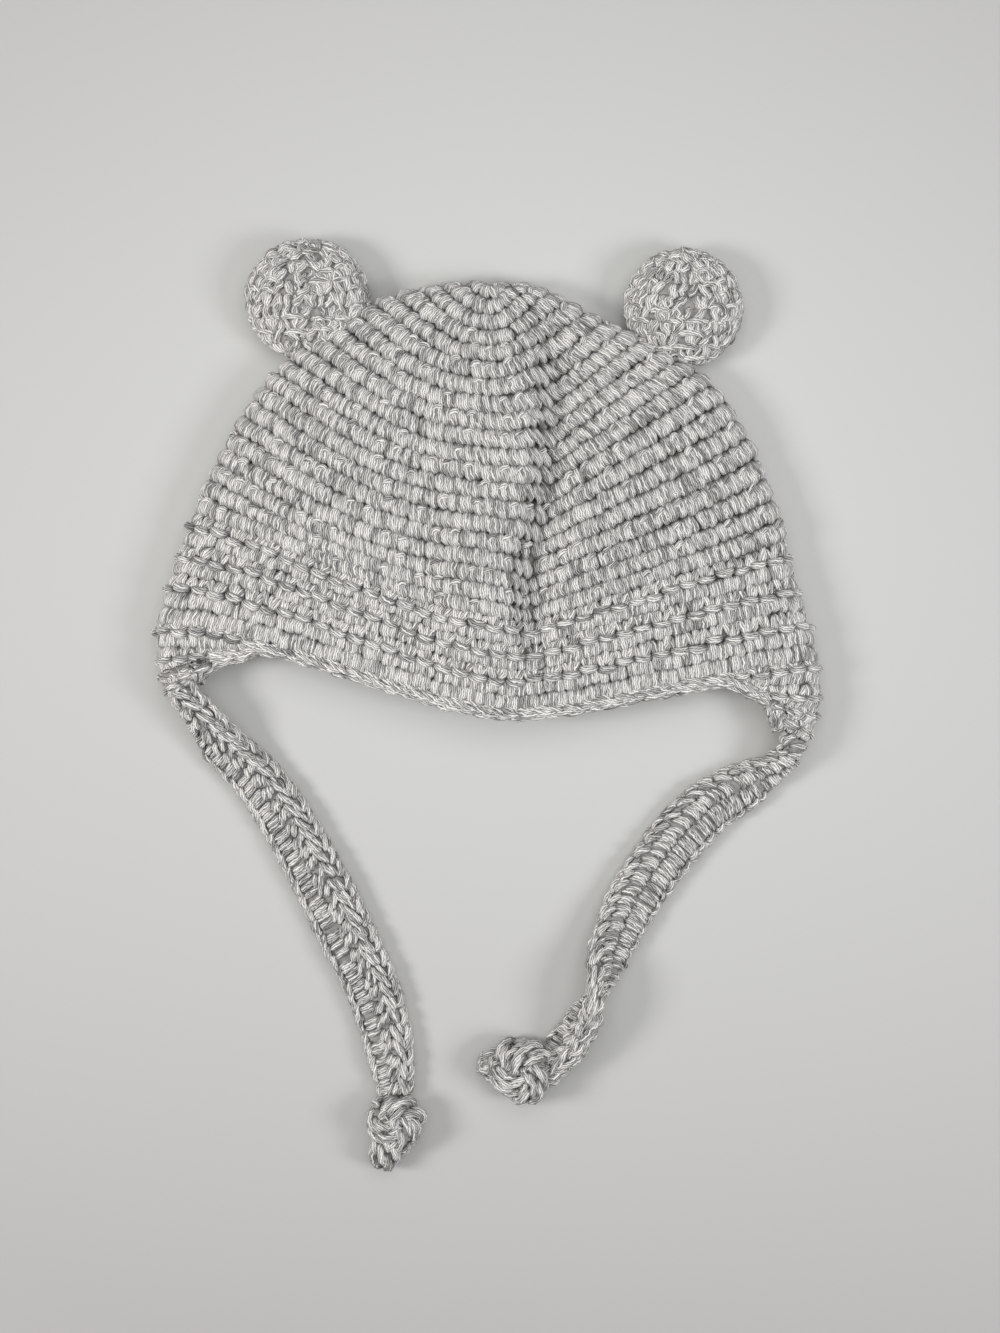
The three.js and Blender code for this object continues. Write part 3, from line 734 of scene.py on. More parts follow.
def yarn_material(name, light, dark):
    """Marled cotton: fine plies wound along a strand, most off-white, some grey, with painted shade between
    them and in pits.
    """
    material = new_material(name)

    def node(kind, inputs=(), **settings):
        return add_node(material, kind, inputs, **settings)

    def maths(operation, a, b=0.0):
        return node("ShaderNodeMath", ((0, a), (1, b)), operation=operation).outputs[0]

    uv = node("ShaderNodeUVMap", uv_map="yarn").outputs[0]
    split = node("ShaderNodeSeparateXYZ", ((0, uv),))
    run = split.outputs[0]
    turn = split.outputs[1]
    tone = node("ShaderNodeAttribute", attribute_name="tone").outputs["Fac"]
    # The plies wind slowly round the strand, and a wavering noise keeps them from being regular
    place = node("ShaderNodeNewGeometry").outputs["Position"]
    noise = (("Vector", place), ("Scale", NOISE_SCALE), ("Detail", 2.0))
    waver = node("ShaderNodeTexNoise", noise).outputs["Fac"]
    wound = maths("ADD", turn, maths("MULTIPLY", run, PLIES["twist"]))
    wound = maths("ADD", wound, maths("MULTIPLY", waver, PLIES["waver"]))
    # How high the surface stands across a ply: round, with a sharp groove on each side
    across = maths("FRACT", wound)
    off_middle = maths("ABSOLUTE", maths("SUBTRACT", maths("MULTIPLY", across, 2.0), 1.0))
    crest = maths("SUBTRACT", 1.0, maths("POWER", off_middle, PLIES["sharpness"]))
    # Which plies are grey changes slowly along the yarn
    ply = maths("FLOOR", wound)
    strand = maths("MULTIPLY", tone, STRAND_STEP)
    stretch = maths("MULTIPLY", run, MARL["along"])
    cell = node("ShaderNodeCombineXYZ", (("X", ply), ("Y", strand), ("Z", stretch))).outputs[0]
    noise = (("Vector", cell), ("Scale", MARL["scale"]), ("Detail", 1.0))
    marl = node("ShaderNodeTexNoise", noise).outputs["Fac"]
    picked = (("Value", marl), ("From Min", MARL["from"]), ("From Max", MARL["to"]))
    darkness = maths("ADD", maths("MULTIPLY", tone, MARL["darker"]), MARL["dark"])
    grey = maths("MULTIPLY", node("ShaderNodeMapRange", picked).outputs[0], darkness)
    # Painted shade: the grooves between plies are darkened in the colour
    groove_shade = maths("MULTIPLY", maths("SUBTRACT", 1.0, crest), PLIES["groove_shade"])
    ply_colour_with_groove_shade = colour_between(material, maths("ADD", grey, groove_shade), light, dark)
    # Where a strand dips into the fabric its colour is darkened: painted shade of the stitches round it
    pit_shade = node("ShaderNodeAttribute", attribute_name="pit_shade").outputs["Fac"]
    colours = (("Factor", pit_shade), ("A", ply_colour_with_groove_shade), ("B", PIT_SHADE_COLOUR))
    shaded = node("ShaderNodeMix", colours, data_type="RGBA")
    bump = node("ShaderNodeBump", (("Height", crest), ("Strength", 0.8), ("Distance", 0.0004)))
    shader_inputs = (
        ("Base Color", shaded.outputs["Result"]),
        ("Normal", bump.outputs[0]),
        ("Roughness", 0.85),
        ("Sheen Weight", 0.2),
        ("Sheen Roughness", 0.6),
        ("Specular IOR Level", 0.25),
    )
    fill_shader(material, shader_inputs)
    return material


def ground_shade_material(name, colour):
    """The close inner yarn between the strands, coloured dark grey as painted shade."""
    material = new_material(name)
    place = add_node(material, "ShaderNodeNewGeometry").outputs["Position"]
    factors = ((0, place), ("Scale", NOISE_SCALE))
    scaled = add_node(material, "ShaderNodeVectorMath", factors, operation="SCALE").outputs[0]
    noise = add_node(material, "ShaderNodeTexNoise", (("Vector", scaled), ("Scale", 1.0)))
    height = noise.outputs["Fac"]
    darker, lighter = ([share * c for c in colour] for share in GROUND_RANGE)
    bump = add_node(material, "ShaderNodeBump", (("Height", height), ("Distance", 0.0005)))
    shader_inputs = (
        ("Base Color", colour_between(material, height, darker, lighter)),
        ("Normal", bump.outputs[0]),
        ("Roughness", 0.95),
    )
    fill_shader(material, shader_inputs)
    return material


YARN = yarn_material("marled_cotton", (0.92, 0.90, 0.87), (0.07, 0.068, 0.066))
# The inner yarn's dark grey is painted shade: the same cotton, darkened where the strands shade it
GROUND_SHADE = ground_shade_material("inner_yarn_painted_shade", (0.34, 0.33, 0.32))


def finish_piece(obj, slot, *nodes):
    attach(obj, "root")
    if nodes:
        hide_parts(*nodes)
    return obj


# Stitches: rows are across in stitches, down in rows, up in millimetres from the outside of the fabric

LEG_LEFT = ((0.14, -0.02, -2.7), (0.12, 0.2, -1.35), (0.24, 0.76, -0.5), (0.38, 0.98, -2.3))
LEG_RIGHT = ((0.54, -0.02, -2.7), (0.62, 0.2, -1.35), (0.76, 0.76, -0.5), (0.84, 0.98, -2.3))
HAT = ((-0.12, 0.46, -1.3), (0.03, 0.32, -0.35), (0.20, 0.2, -0.35), (0.36, 0.2, -1.4))
FAN_LEFT = ((0.06, 0.0, -2.4), (0.14, 0.16, -1.15), (0.24, 0.34, -1.2), (0.34, 0.5, -2.4))
FAN_MIDDLE = ((0.50, -0.02, -2.4), (0.50, 0.16, -1.0), (0.50, 0.34, -1.1), (0.50, 0.5, -2.4))
FAN_RIGHT = ((0.94, 0.0, -2.4), (0.86, 0.16, -1.15), (0.76, 0.34, -1.2), (0.66, 0.5, -2.4))
BAR = ((0.0, 0.45, -1.7), (0.26, 0.50, -0.15), (0.62, 0.52, -0.1), (0.90, 0.47, -1.7))
COMB = (0.24, 0.74)
LEG_RADIUS = 1.46
HAT_RADIUS = 0.95
HAT_SHARE = 0.45
BAR_RADIUS = 1.32
FAN_RADIUS = 1.06
COMB_RADIUS = 1.36
# How much wider than high a leg and a fan's strand lie
LEG_WIDE = 1.3
FAN_WIDE = 1.1
PAIR_PLACES = (0.25, 0.5, 0.75)  # how far down a pair of rows its fans, bars and comb lie
FLAP_MARGIN = 1.6  # how far past the flap's edge a stitch may start
INSIDE_START = 0.72
INSIDE_ROWS = 9

# How unevenly each kind of strand is placed, in its shape's own unit across
SPREAD = {
    "rounds": 0.04,
    "hat": 0.06,
    "fan": 0.05,
    "bar": 0.05,
    "comb": 0.04,
    "inside": 0.05,
    "tie": 0.14,
    "knot": 0.024,
    "ear": 0.09,
    "ear_loop": 0.12,
    "edging": 0.01,
}

# How deep the inner yarn lies under the surface
GROUND_DEPTH = {"cap": 2.1, "flap": 2.0, "tie": 1.0, "knot": 0.9, "ear": 1.15, "edging": 0.7}


def comb_leg(x):
    return ((x - 0.04, 0.5, -2.5), (x - 0.02, 0.62, -1.3), (x + 0.02, 0.88, -0.7), (x + 0.04, 1.0, -2.4))


def seam_leg(x):
    """A leg that runs up to the flap's end, where the tie begins."""
    return ((x - 0.04, 0.5, -2.4), (x - 0.02, 0.7, -1.1), (x + 0.02, 0.88, -0.8), (x + 0.04, 1.0, -1.1))


def inside_leg(x):
    return ((x, 0.5, -2.2), (x + 0.03, 0.66, -0.9), (x + 0.05, 0.84, -0.9), (x + 0.08, 1.0, -2.2))


def stitch_places(skin, s, phase):
    """Where the stitches of a row start, and the share of the row that each takes."""
    count = max(2, round(skin.row_length(s) / STITCH))
    pitch = 1 / count
    return (np.arange(count) + phase) * pitch, pitch


def rounds_row(yarns, skin, s0, s1, phase):
    """A round of stitches, each with a left and a right leg, and some with a short strand over them."""
    u, pitch = stitch_places(skin, mix(s0, s1, 0.5), phase)
    front = (u % 1) < 0.5
    for yarn, part in zip(yarns, (u[front], u[~front])):
        part = part + yarn.random.normal(0, SPREAD["rounds"], len(part)) * pitch
        for leg in (LEG_LEFT, LEG_RIGHT):
            yarn.lay(skin, s0, s1, part, pitch, leg, LEG_RADIUS, SPREAD["rounds"], wide=LEG_WIDE)
        hatted = part[yarn.random.random(len(part)) < HAT_SHARE]
        yarn.lay(skin, s0, s1, hatted, pitch, HAT, HAT_RADIUS, SPREAD["hat"])


def pair_row(yarn, skin, s0, s1, u, pitch, within=lambda s, u: u, leg=comb_leg):
    """Two turned rows: fans, bars along the row, and a comb of legs. within keeps what is on the cloth."""
    fans, bars, comb = (within(mix(s0, s1, t), u) for t in PAIR_PLACES)
    for shape in (FAN_LEFT, FAN_MIDDLE, FAN_RIGHT):
        yarn.lay(skin, s0, s1, fans, pitch, shape, FAN_RADIUS, SPREAD["fan"], wide=FAN_WIDE)
    yarn.lay(skin, s0, s1, bars, pitch, BAR, BAR_RADIUS, SPREAD["bar"])
    for x in COMB:
        yarn.lay(skin, s0, s1, comb, pitch, leg(x), COMB_RADIUS, SPREAD["comb"], wide=LEG_WIDE)


def comb_row(yarn, skin, s0, s1, u, pitch):
    """A single row of legs, which are the lower half of a pair that starts a row further up."""
    for x in COMB:
        yarn.lay(skin, 2 * s0 - s1, s1, u, pitch, comb_leg(x), COMB_RADIUS, SPREAD["comb"], wide=LEG_WIDE)


def build_cap(skin):
    front = Yarn(seed=11)
    back = Yarn(seed=12, sides=UNDER_SIDES)
    step = BAND_START / ROUNDS
    for row in range(ROUNDS):
        rounds_row((front, back), skin, row * step, (row + 1) * step, ROUND_PHASE * row)
    band_front = Yarn(seed=13)
    band_back = Yarn(seed=14, sides=UNDER_SIDES)
    step = (1 - BAND_START) / (2 * BAND_PAIRS + 1)
    for pair in range(BAND_PAIRS + 1):
        last = pair == BAND_PAIRS
        lay_row = comb_row if last else pair_row
        s0 = BAND_START + 2 * pair * step
        s1 = s0 + (step if last else 2 * step)
        u, pitch = stitch_places(skin, s0, 0.5 * pair)
        is_front = (u % 1) < 0.5
        for yarn, part in ((band_front, u[is_front]), (band_back, u[~is_front])):
            lay_row(yarn, skin, s0, s1, part, pitch)
    pieces = {"rounds_front": front, "rounds_back": back, "band_front": band_front, "band_back": band_back}
    for name, yarn in pieces.items():
        finish_piece(yarn.mesh(name, YARN), "cap_yarn", "cap")
    # A closed sheet of inner yarn under the strands, dark with painted shade
    rows, columns = CAP_GROUND_GRID
    s, u = np.meshgrid(np.linspace(0, 1, rows), np.linspace(0, 1, columns), indexing="ij")
    outer, _ = skin.at(s, u, -GROUND_DEPTH["cap"])
    inner, _ = skin.at(s, u, -WALL)
    finish_piece(sheet_mesh("cap_ground_shade", outer, inner, GROUND_SHADE, closed=True), "cap_yarn", "cap")


def joined(name, first, *others):
    """One object from several."""
    bpy.ops.object.select_all(action="DESELECT")
    for obj in (first, *others):
        obj.select_set(True)
    bpy.context.view_layer.objects.active = first
    bpy.ops.object.join()
    first.name = name
    return first


def core(name, skin, depth):
    """The closed body of inner yarn under the strands of a closed skin, dark with painted shade."""
    full = skin.sunk(depth)
    # Every third row and every second column are enough
    rows = np.linspace(0, len(full) - 1, len(full) // 3).astype(int)
    points = full[rows, :-1:2]
    index = np.arange(points[..., 0].size).reshape(points.shape[:2])
    ends = np.stack([index[0][::-1], index[-1]])
    return make_mesh(name, points.reshape(-1, 3), [grid_quads(index, closed=True), ends], GROUND_SHADE)


def cored_piece(name, node, slot, yarn, *cores):
    """The piece that takes a node's place: strands with the inner yarn under them."""
    return finish_piece(joined(name, yarn.mesh(f"{node}_strands", YARN), *cores), slot, node)


# The face of a tie: across in millimetres from the middle of its first edge, along in stitches, up in
# millimetres
TIE_FRONT = (
    # Two strands along the first edge
    (((0.7, -0.15, -0.8), (0.3, 0.3, 0.1), (-0.3, 0.8, 0.1), (-0.9, 1.25, -0.8)), 0.85),
    (((2.5, -0.1, -0.9), (2.1, 0.3, 0.1), (1.6, 0.75, 0.1), (1.0, 1.2, -0.9)), 0.85),
    # A lobe of three strands across
    (((2.9, 0.42, -1.3), (4.0, 0.33, -0.15), (6.0, 0.22, -0.15), (7.6, 0.10, -1.3)), 0.8),
    (((2.8, 0.70, -1.2), (3.9, 0.61, 0.0), (6.0, 0.50, 0.0), (7.6, 0.38, -1.2)), 0.84),
    (((2.9, 0.97, -1.3), (4.0, 0.89, -0.2), (5.8, 0.79, -0.2), (7.4, 0.66, -1.3)), 0.8),
    # A fan of three steep strands
    (((6.9, 0.92, -1.4), (7.4, 0.70, -0.15), (8.0, 0.42, -0.15), (8.6, 0.14, -1.4)), 0.88),
    (((8.3, 0.90, -1.4), (8.8, 0.68, -0.1), (9.4, 0.38, -0.1), (10.1, 0.10, -1.4)), 0.88),
    (((9.8, 0.86, -1.5), (10.3, 0.62, -0.3), (10.8, 0.34, -0.3), (11.3, 0.06, -1.5)), 0.82),
    # The chain: its inner legs, its outer leg and the strand beyond it
    (((11.0, -0.25, -0.9), (11.5, 0.15, 0.3), (12.6, 0.68, 0.3), (13.4, 1.05, -0.9)), 1.0),
    (((12.7, -0.25, -1.2), (13.2, 0.1, -0.1), (13.8, 0.5, -0.1), (14.2, 0.85, -1.2)), 0.8),
    (((16.3, -0.25, -0.9), (16.1, 0.2, 0.25), (15.4, 0.7, 0.25), (14.6, 1.08, -0.9)), 0.95),
    (((17.9, -0.2, -0.9), (17.6, 0.25, 0.0), (17.2, 0.7, 0.0), (16.6, 1.15, -0.9)), 0.8),
)
TIE_BACK = (
    # Two strands along the first edge
    (((-0.5, -0.1, -0.9), (-0.4, 0.3, 0.0), (-0.2, 0.7, 0.0), (0.2, 1.1, -0.9)), 0.8),
    (((1.9, 0.05, -0.9), (1.4, 0.3, 0.1), (0.9, 0.6, 0.1), (0.4, 0.9, -0.9)), 0.85),
    # A lobe of four strands across
    (((8.2, 0.20, -1.5), (6.6, 0.12, -0.35), (3.8, 0.14, -0.35), (1.8, 0.26, -1.4)), 0.72),
    (((8.5, 0.43, -1.4), (6.7, 0.35, 0.0), (3.8, 0.37, 0.0), (1.7, 0.47, -1.3)), 0.8),
    (((8.3, 0.67, -1.4), (6.6, 0.60, -0.05), (3.8, 0.62, -0.05), (1.7, 0.70, -1.3)), 0.78),
    (((8.0, 0.88, -1.6), (6.4, 0.83, -0.5), (4.0, 0.84, -0.5), (2.0, 0.90, -1.6)), 0.66),
    # Loops that hook into each other
    (((8.0, 0.64, -1.4), (9.4, 0.50, -0.1), (11.6, 0.62, 0.0), (13.4, 0.95, -1.1)), 0.86),
    (((8.2, 0.94, -1.4), (9.6, 0.86, -0.2), (11.2, 1.00, -0.1), (12.8, 1.32, -1.2)), 0.8),
    (((8.8, 0.36, -1.5), (10.2, 0.24, -0.4), (11.8, 0.32, -0.35), (13.2, 0.58, -1.4)), 0.74),
    # Two strands along the second edge
    (((13.0, -0.1, -0.9), (14.0, 0.15, 0.15), (15.0, 0.55, 0.15), (15.7, 1.0, -0.9)), 0.88),
    (((16.3, -0.2, -0.9), (16.7, 0.2, 0.05), (17.0, 0.6, 0.05), (17.2, 1.0, -0.9)), 0.8),
)
TIE_WIDE = 14.8


def build_tie(side, knot_piece):
    skin, line = tie_skin(side)
    length = lengths(line)[-1]
    count = round(length / TIE_STITCH)
    # The share of the section's way round that a millimetre takes, at the tie's usual width
    pitch = 1 / (2 * (TIE_WIDE - TIE_THICKNESS) + math.pi * TIE_THICKNESS)
    yarn = Yarn(seed=31 if side == "left" else 32)
    faces = {"left": (TIE_FRONT, TIE_BACK), "right": (TIE_BACK, TIE_FRONT)}[side]
    for face, sign in zip(faces, (1, -1)):
        for shape, radius in face:
            shape = np.multiply(shape, (sign, 1, 1))
            yarn.lay_down(skin, count, shape, radius, SPREAD["tie"], pitch_size=1, pitch=pitch)
    inner = core(f"tie_{side}_core", skin, GROUND_DEPTH["tie"])
    piece = cored_piece(f"tie_{side}_cord", f"tie_{side}", "tie_yarn", yarn, inner)


# Rope of a knot: across in shares of the way round, along in stitches, up in millimetres
ROPE_STRAND = ((0.00, -0.1, -1.1), (0.05, 0.3, 0.1), (0.10, 0.8, 0.1), (0.15, 1.25, -1.1))
ROPE_STRANDS = 8
ROPE_STRAND_RADIUS = 1.08
ROPE_AROUND = 20  # the way round the rope, in millimetres
ROPE_START = -0.05  # where on the knot's loop the rope starts, in radians
TAIL_RADIUS = 4.3
TAIL_BLUNTNESS = 0.85


def rope_strand(number):
    """One of the strands round a knot's rope. Every other one starts half a stitch later."""
    return [(x + number / ROPE_STRANDS, y + (number % 2) / 2, z) for x, y, z in ROPE_STRAND]


def transported(line, start):
    """Directions square to a line of points, carried along it without twisting."""
    tangents = unit(np.gradient(line, axis=0))
    ups = [unit(start - tangents[0] * (start @ tangents[0]))]
    for tangent in tangents[1:]:
        ups.append(unit(ups[-1] - tangent * (ups[-1] @ tangent)))
    return np.stack(ups)


def build_knot(name):
    x, y, size, turn, tail = KNOTS[name]
    centre = np.array((x, y, KNOT_ROPE_RADIUS + KNOT_RUN["up"] * size))
    # The rope runs in a trefoil knot, and its tail goes straight out from the middle
    angle = np.linspace(ROPE_START, 2 * math.pi + ROPE_START, 160)
    spread = KNOT_RUN["across"] * (2 + np.cos(3 * angle))
    run = (spread * np.cos(2 * angle), spread * np.sin(2 * angle), KNOT_RUN["up"] * np.sin(3 * angle))
    cosine = math.cos(math.radians(turn))
    sine = math.sin(math.radians(turn))
    spin = np.array([[cosine, -sine, 0], [sine, cosine, 0], [0, 0, 1]])
    rope = centre + size * np.column_stack(run) @ spin.T
    end = np.array((x + tail[0], y + tail[1], KNOT_ROPE_RADIUS))
    shares = np.linspace(0, 1, 30)
    tail_line = centre + (end - centre) * shares[:, None]
    # The tail's last quarter is rounded
    past_quarter = np.clip(1 - 4 * (1 - shares), 0, TAIL_BLUNTNESS)
    tail_radius = TAIL_RADIUS * np.sqrt(1 - past_quarter**2)
    yarn = Yarn(seed=41 if name == "knot_left" else 42)
    cores = []
    for part, line, radius in (("run", rope, KNOT_ROPE_RADIUS), ("tail", tail_line, tail_radius)):
        skin = tube_skin(line, transported(line, np.array((0.0, 0.0, 1.0))), radius)
        count = max(2, round(lengths(line)[-1] / TIE_STITCH))
        for number in range(ROPE_STRANDS):
            yarn.lay_down(skin, count, rope_strand(number), ROPE_STRAND_RADIUS, SPREAD["knot"], ROPE_AROUND)
        cores.append(core(f"{name}_{part}_core", skin, GROUND_DEPTH["knot"]))
    return cored_piece(f"{name}_piece", name, "tie_yarn", yarn, *cores)


# Stitches of an ear: rows are across in stitches, down in rows, up in millimetres
EAR_STITCH = (
    (((0.06, -0.05, -1.4), (0.10, 0.25, -0.6), (0.20, 0.65, -0.5), (0.34, 1.0, -1.4)), 1.15),
    (((0.34, 0.0, -1.5), (0.36, 0.28, -0.75), (0.40, 0.66, -0.7), (0.46, 1.0, -1.5)), 1.08),
    (((0.66, 0.0, -1.5), (0.64, 0.28, -0.75), (0.60, 0.66, -0.7), (0.56, 1.0, -1.5)), 1.08),
    (((0.96, -0.05, -1.4), (0.90, 0.25, -0.6), (0.80, 0.65, -0.5), (0.68, 1.0, -1.4)), 1.15),
)
EAR_LOOP_SHARE = 0.6
EAR_LOOP = ((-0.05, 0.16, -1.1), (0.2, -0.02, -0.35), (0.55, -0.02, -0.35), (0.85, 0.16, -1.1))
EAR_LOOP_RADIUS = 0.95
EAR_SHIFT = 0.12  # how far a stitch is shifted along its round
EAR_POLE = 0.03  # angle by which the rounds start and end off the axis


def ear_skin(name):
    """An ear's surface. Its rounds run about an axis that leans from the face's middle to the upper rim."""
    x, y, radius_x, radius_y = EARS[name]
    rows, columns = EAR_GRID
    lean = math.radians(EAR_LEAN)
    polar = np.linspace(EAR_POLE, math.pi - EAR_POLE, 200)[:, None]
    turn = np.linspace(0, 2 * math.pi, columns)
    ring_x = np.sin(polar) * np.cos(turn)
    ring_y = np.sin(polar) * np.sin(turn)
    ring_z = np.cos(polar)
    ball_y = ring_y * math.cos(lean) + ring_z * math.sin(lean)
    ball_z = ring_z * math.cos(lean) - ring_y * math.sin(lean)
    level = np.maximum(np.hypot(ring_x, ball_y), 1e-6)
    flat = level ** (1 - EAR_FULLNESS) / level
    height = (ball_z * (EAR_THICKNESS + EAR_FOOT) + EAR_THICKNESS - EAR_FOOT) / 2
    places = np.stack([x + radius_x * ring_x * flat, y + radius_y * ball_y * flat, np.maximum(height, 0)], -1)
    evened = []
    for column in places.transpose(1, 0, 2):
        evened.append(along(column, np.linspace(0, lengths(column)[-1], rows)))
    return Skin(np.stack(evened, axis=1), closed=True)


def build_ear(name):
    skin = ear_skin(name)
    rows = round(lengths(skin.points[:, 0])[-1] / ROUND)
    yarn = Yarn(seed=51 if name == "ear_left" else 52)
    for row in range(rows):
        s0 = row / rows
        s1 = (row + 1) / rows
        u, pitch = stitch_places(skin, (s0 + s1) / 2, ROUND_PHASE * row)
        u = u + yarn.random.normal(0, EAR_SHIFT, len(u)) * pitch
        for shape, radius in EAR_STITCH:
            yarn.lay(skin, s0, s1, u, pitch, shape, radius, SPREAD["ear"])
        looped = u[yarn.random.random(len(u)) < EAR_LOOP_SHARE]
        yarn.lay(skin, s0, s1, looped, pitch, EAR_LOOP, EAR_LOOP_RADIUS, SPREAD["ear_loop"])
    inner = core(f"{name}_core", skin, GROUND_DEPTH["ear"])
    piece = cored_piece(f"{name}_pad", name, "ear_yarn", yarn, inner)


# The chain edging: across in shares of the way round from the free side over the face, along in links
CHAIN = (
    (((0.46, -0.25, -0.8), (0.42, 0.2, 0.1), (0.36, 0.8, 0.1), (0.31, 1.25, -0.8)), 0.84),
    (((0.34, 0.25, -0.8), (0.29, 0.7, 0.15), (0.23, 1.3, 0.15), (0.18, 1.75, -0.8)), 0.84),
    (((0.10, -0.25, -0.8), (0.14, 0.2, 0.15), (0.18, 0.8, 0.15), (0.21, 1.25, -0.8)), 0.84),
    (((-0.04, 0.25, -0.8), (0.0, 0.7, 0.1), (0.05, 1.3, 0.1), (0.09, 1.75, -0.8)), 0.84),
    (((-0.20, -0.25, -0.8), (-0.16, 0.2, 0.1), (-0.12, 0.8, 0.1), (-0.09, 1.25, -0.8)), 0.84),
    (((-0.30, 0.25, -0.8), (-0.33, 0.7, 0.1), (-0.37, 1.3, 0.1), (-0.40, 1.75, -0.8)), 0.84),
)
LINK = 5.6
CHAIN_OVERLAP = 0.6  # how far the chain's strands reach back over the fabric's edge
CHAIN_AROUND = 10  # the way round the chain, in millimetres
OUT_WEIGHT = 5  # how much the outward directions count beside the places in the curve along the edging


def edging_line(cap, flaps, upper):
    """Middle of a layer's chain and the fabric's outward directions, from the left flap to the right one."""
    reach = EDGING_RADIUS + EDGING_GAP - CHAIN_OVERLAP
    column, further_in = (-1, -4) if upper else (0, 3)

    def beside(side):
        outer, inner = flaps[side]
        middle = (outer + inner) / 2
        edge = middle[:, column]
        thick = (outer - inner)[:, column]
        away = unit(np.cross(np.gradient(edge, axis=0), thick))
        away = away * np.sign((away * (edge - middle[:, further_in])).sum(1, keepdims=True))
        rows = np.round(np.array(EDGING_ON_FLAP) * (len(edge) - 1)).astype(int)
        return (edge + away * reach)[rows], unit(thick)[rows]

    left, left_out = beside("left")
    right, right_out = beside("right")
    start = FLAP_CORNER["left"] + EDGING_MARGIN
    turns = np.linspace(start, 0.5 - FLAP_CORNER["right"] - EDGING_MARGIN, 17)
    rim, out, down = cap_rim(cap, turns if upper else 1 - turns, -WALL / 2)
    places = np.vstack([left, rim + down * reach, right[::-1]])
    outs = np.vstack([left_out, out, right_out[::-1]])
    places[:, 2] = np.maximum(places[:, 2], EDGING_RADIUS)
    both = through(np.hstack([places, outs * OUT_WEIGHT]), 20)
    return both[:, :3], unit(both[:, 3:])


def build_edging(name, cap, flaps, upper):
    line, outs = edging_line(cap, flaps, upper)
    run = lengths(line)
    even_run = np.linspace(0, run[-1], 400)
    skin = tube_skin(read_at(line, run, even_run), read_at(outs, run, even_run), EDGING_RADIUS)
    count = round(run[-1] / LINK)
    yarn = Yarn(seed=61 if upper else 62)
    for shape, radius in CHAIN:
        yarn.lay_down(skin, count, shape, radius, SPREAD["edging"], CHAIN_AROUND)
    inner = core(f"{name}_core", skin, GROUND_DEPTH["edging"])
    cored_piece(f"{name}_chain", name, "edging_yarn", yarn, inner)


def build_inside(cap):
    """Rows of stitches on the inside face, as far in as the opening shows them."""
    skin = Skin(cap.sunk(WALL), closed=True, flip=True)
    yarn = Yarn(seed=15, sides=UNDER_SIDES)
    step = (1 - INSIDE_START) / INSIDE_ROWS
    for row in range(INSIDE_ROWS):
        s0 = INSIDE_START + row * step
        u, pitch = stitch_places(skin, s0, 0.5 * row)
        for x in COMB:
            yarn.lay(skin, s0 - step, s0 + step, u, pitch, inside_leg(x), COMB_RADIUS, SPREAD["inside"])
    finish_piece(yarn.mesh("band_inside", YARN), "cap_yarn", "cap")


def straight_columns(grid):
    """A flap's face with columns evenly apart from its fold to past its edges, and its half widths."""
    middle = grid.shape[1] // 2
    runs = [lengths(row) - lengths(row)[middle] for row in grid]
    halves = np.array([min(-run[0], run[-1]) for run in runs])
    distances = np.linspace(-halves.max(), halves.max(), FLAP_COLUMNS)
    out = []
    for row, run in zip(grid, runs):
        before = np.minimum(distances - run[0], 0)[:, None] * unit(row[1] - row[0])
        after = np.maximum(distances - run[-1], 0)[:, None] * unit(row[-1] - row[-2])
        out.append(read_at(row, run, distances) + (before + after))
    return np.stack(out), halves


def build_flap(side, outer, inner):
    flip = side == "right"
    columns, halves = straight_columns(outer)
    skin = Skin(columns, flip=flip)

    def within(s, u):
        half = np.interp(s, np.linspace(0, 1, len(halves)), halves)
        return u[np.abs(2 * u - 1) * halves.max() < half + FLAP_MARGIN]

    yarn = Yarn(seed=21 if side == "left" else 22)
    drop = lengths(columns[:, FLAP_COLUMNS // 2])[-1]
    pairs = math.ceil(drop / (2 * ROUND)) + 1
    u, pitch = stitch_places(skin, 0.0, 0.0)
    for pair in range(pairs):
        leg = seam_leg if pair == pairs - 1 else comb_leg
        pair_row(yarn, skin, pair / pairs, (pair + 1) / pairs, u, pitch, within, leg)
    node = f"earflap_{side}"
    finish_piece(yarn.mesh(f"flap_{side}_stitches", YARN), "cap_yarn", node)
    # The flap's inner yarn, dark with painted shade
    sunk = Skin(outer, flip=flip).sunk(GROUND_DEPTH["flap"])
    ground_shade = sheet_mesh(f"flap_{side}_ground", sunk[::2, ::2], inner[::2, ::2], GROUND_SHADE)
    finish_piece(ground_shade, "cap_yarn", node)


# The floor's half size, its height, and the pool of light painted on it: its brightest place, and the
# distances from there over which it darkens
FLOOR_HALF = 1.5
FLOOR_Z = -0.0003
FLOOR_LIGHT_MIDDLE = (0.03, 0.01, 0)
FLOOR_LIGHT_FALLOFF = (0.03, 0.3)

# The photo: pixels across and down, millimetres to a pixel, and the pixel at the frame's origin
PHOTO = {"across": 1000, "down": 1333, "pixel": 0.305, "origin": (489, 497.5)}
CAMERA_DISTANCE = 0.52  # in metres, as TRUE_HEIGHT
TRUE_HEIGHT = 0.006  # height at which the picture has the photo's scale
SENSOR = 24

# Lights: name, place, size, power and colour
LIGHTS = (
    ("window_left", (-0.66, -0.13, 0.54), 0.26, 3.85, (1.0, 0.985, 0.965)),
    ("window_right", (0.66, -0.24, 0.54), 0.3, 3.05, (0.975, 0.985, 1.0)),
    ("ceiling", (0.04, 0.12, 0.68), 0.7, 2.35, (1.0, 0.99, 0.98)),
)


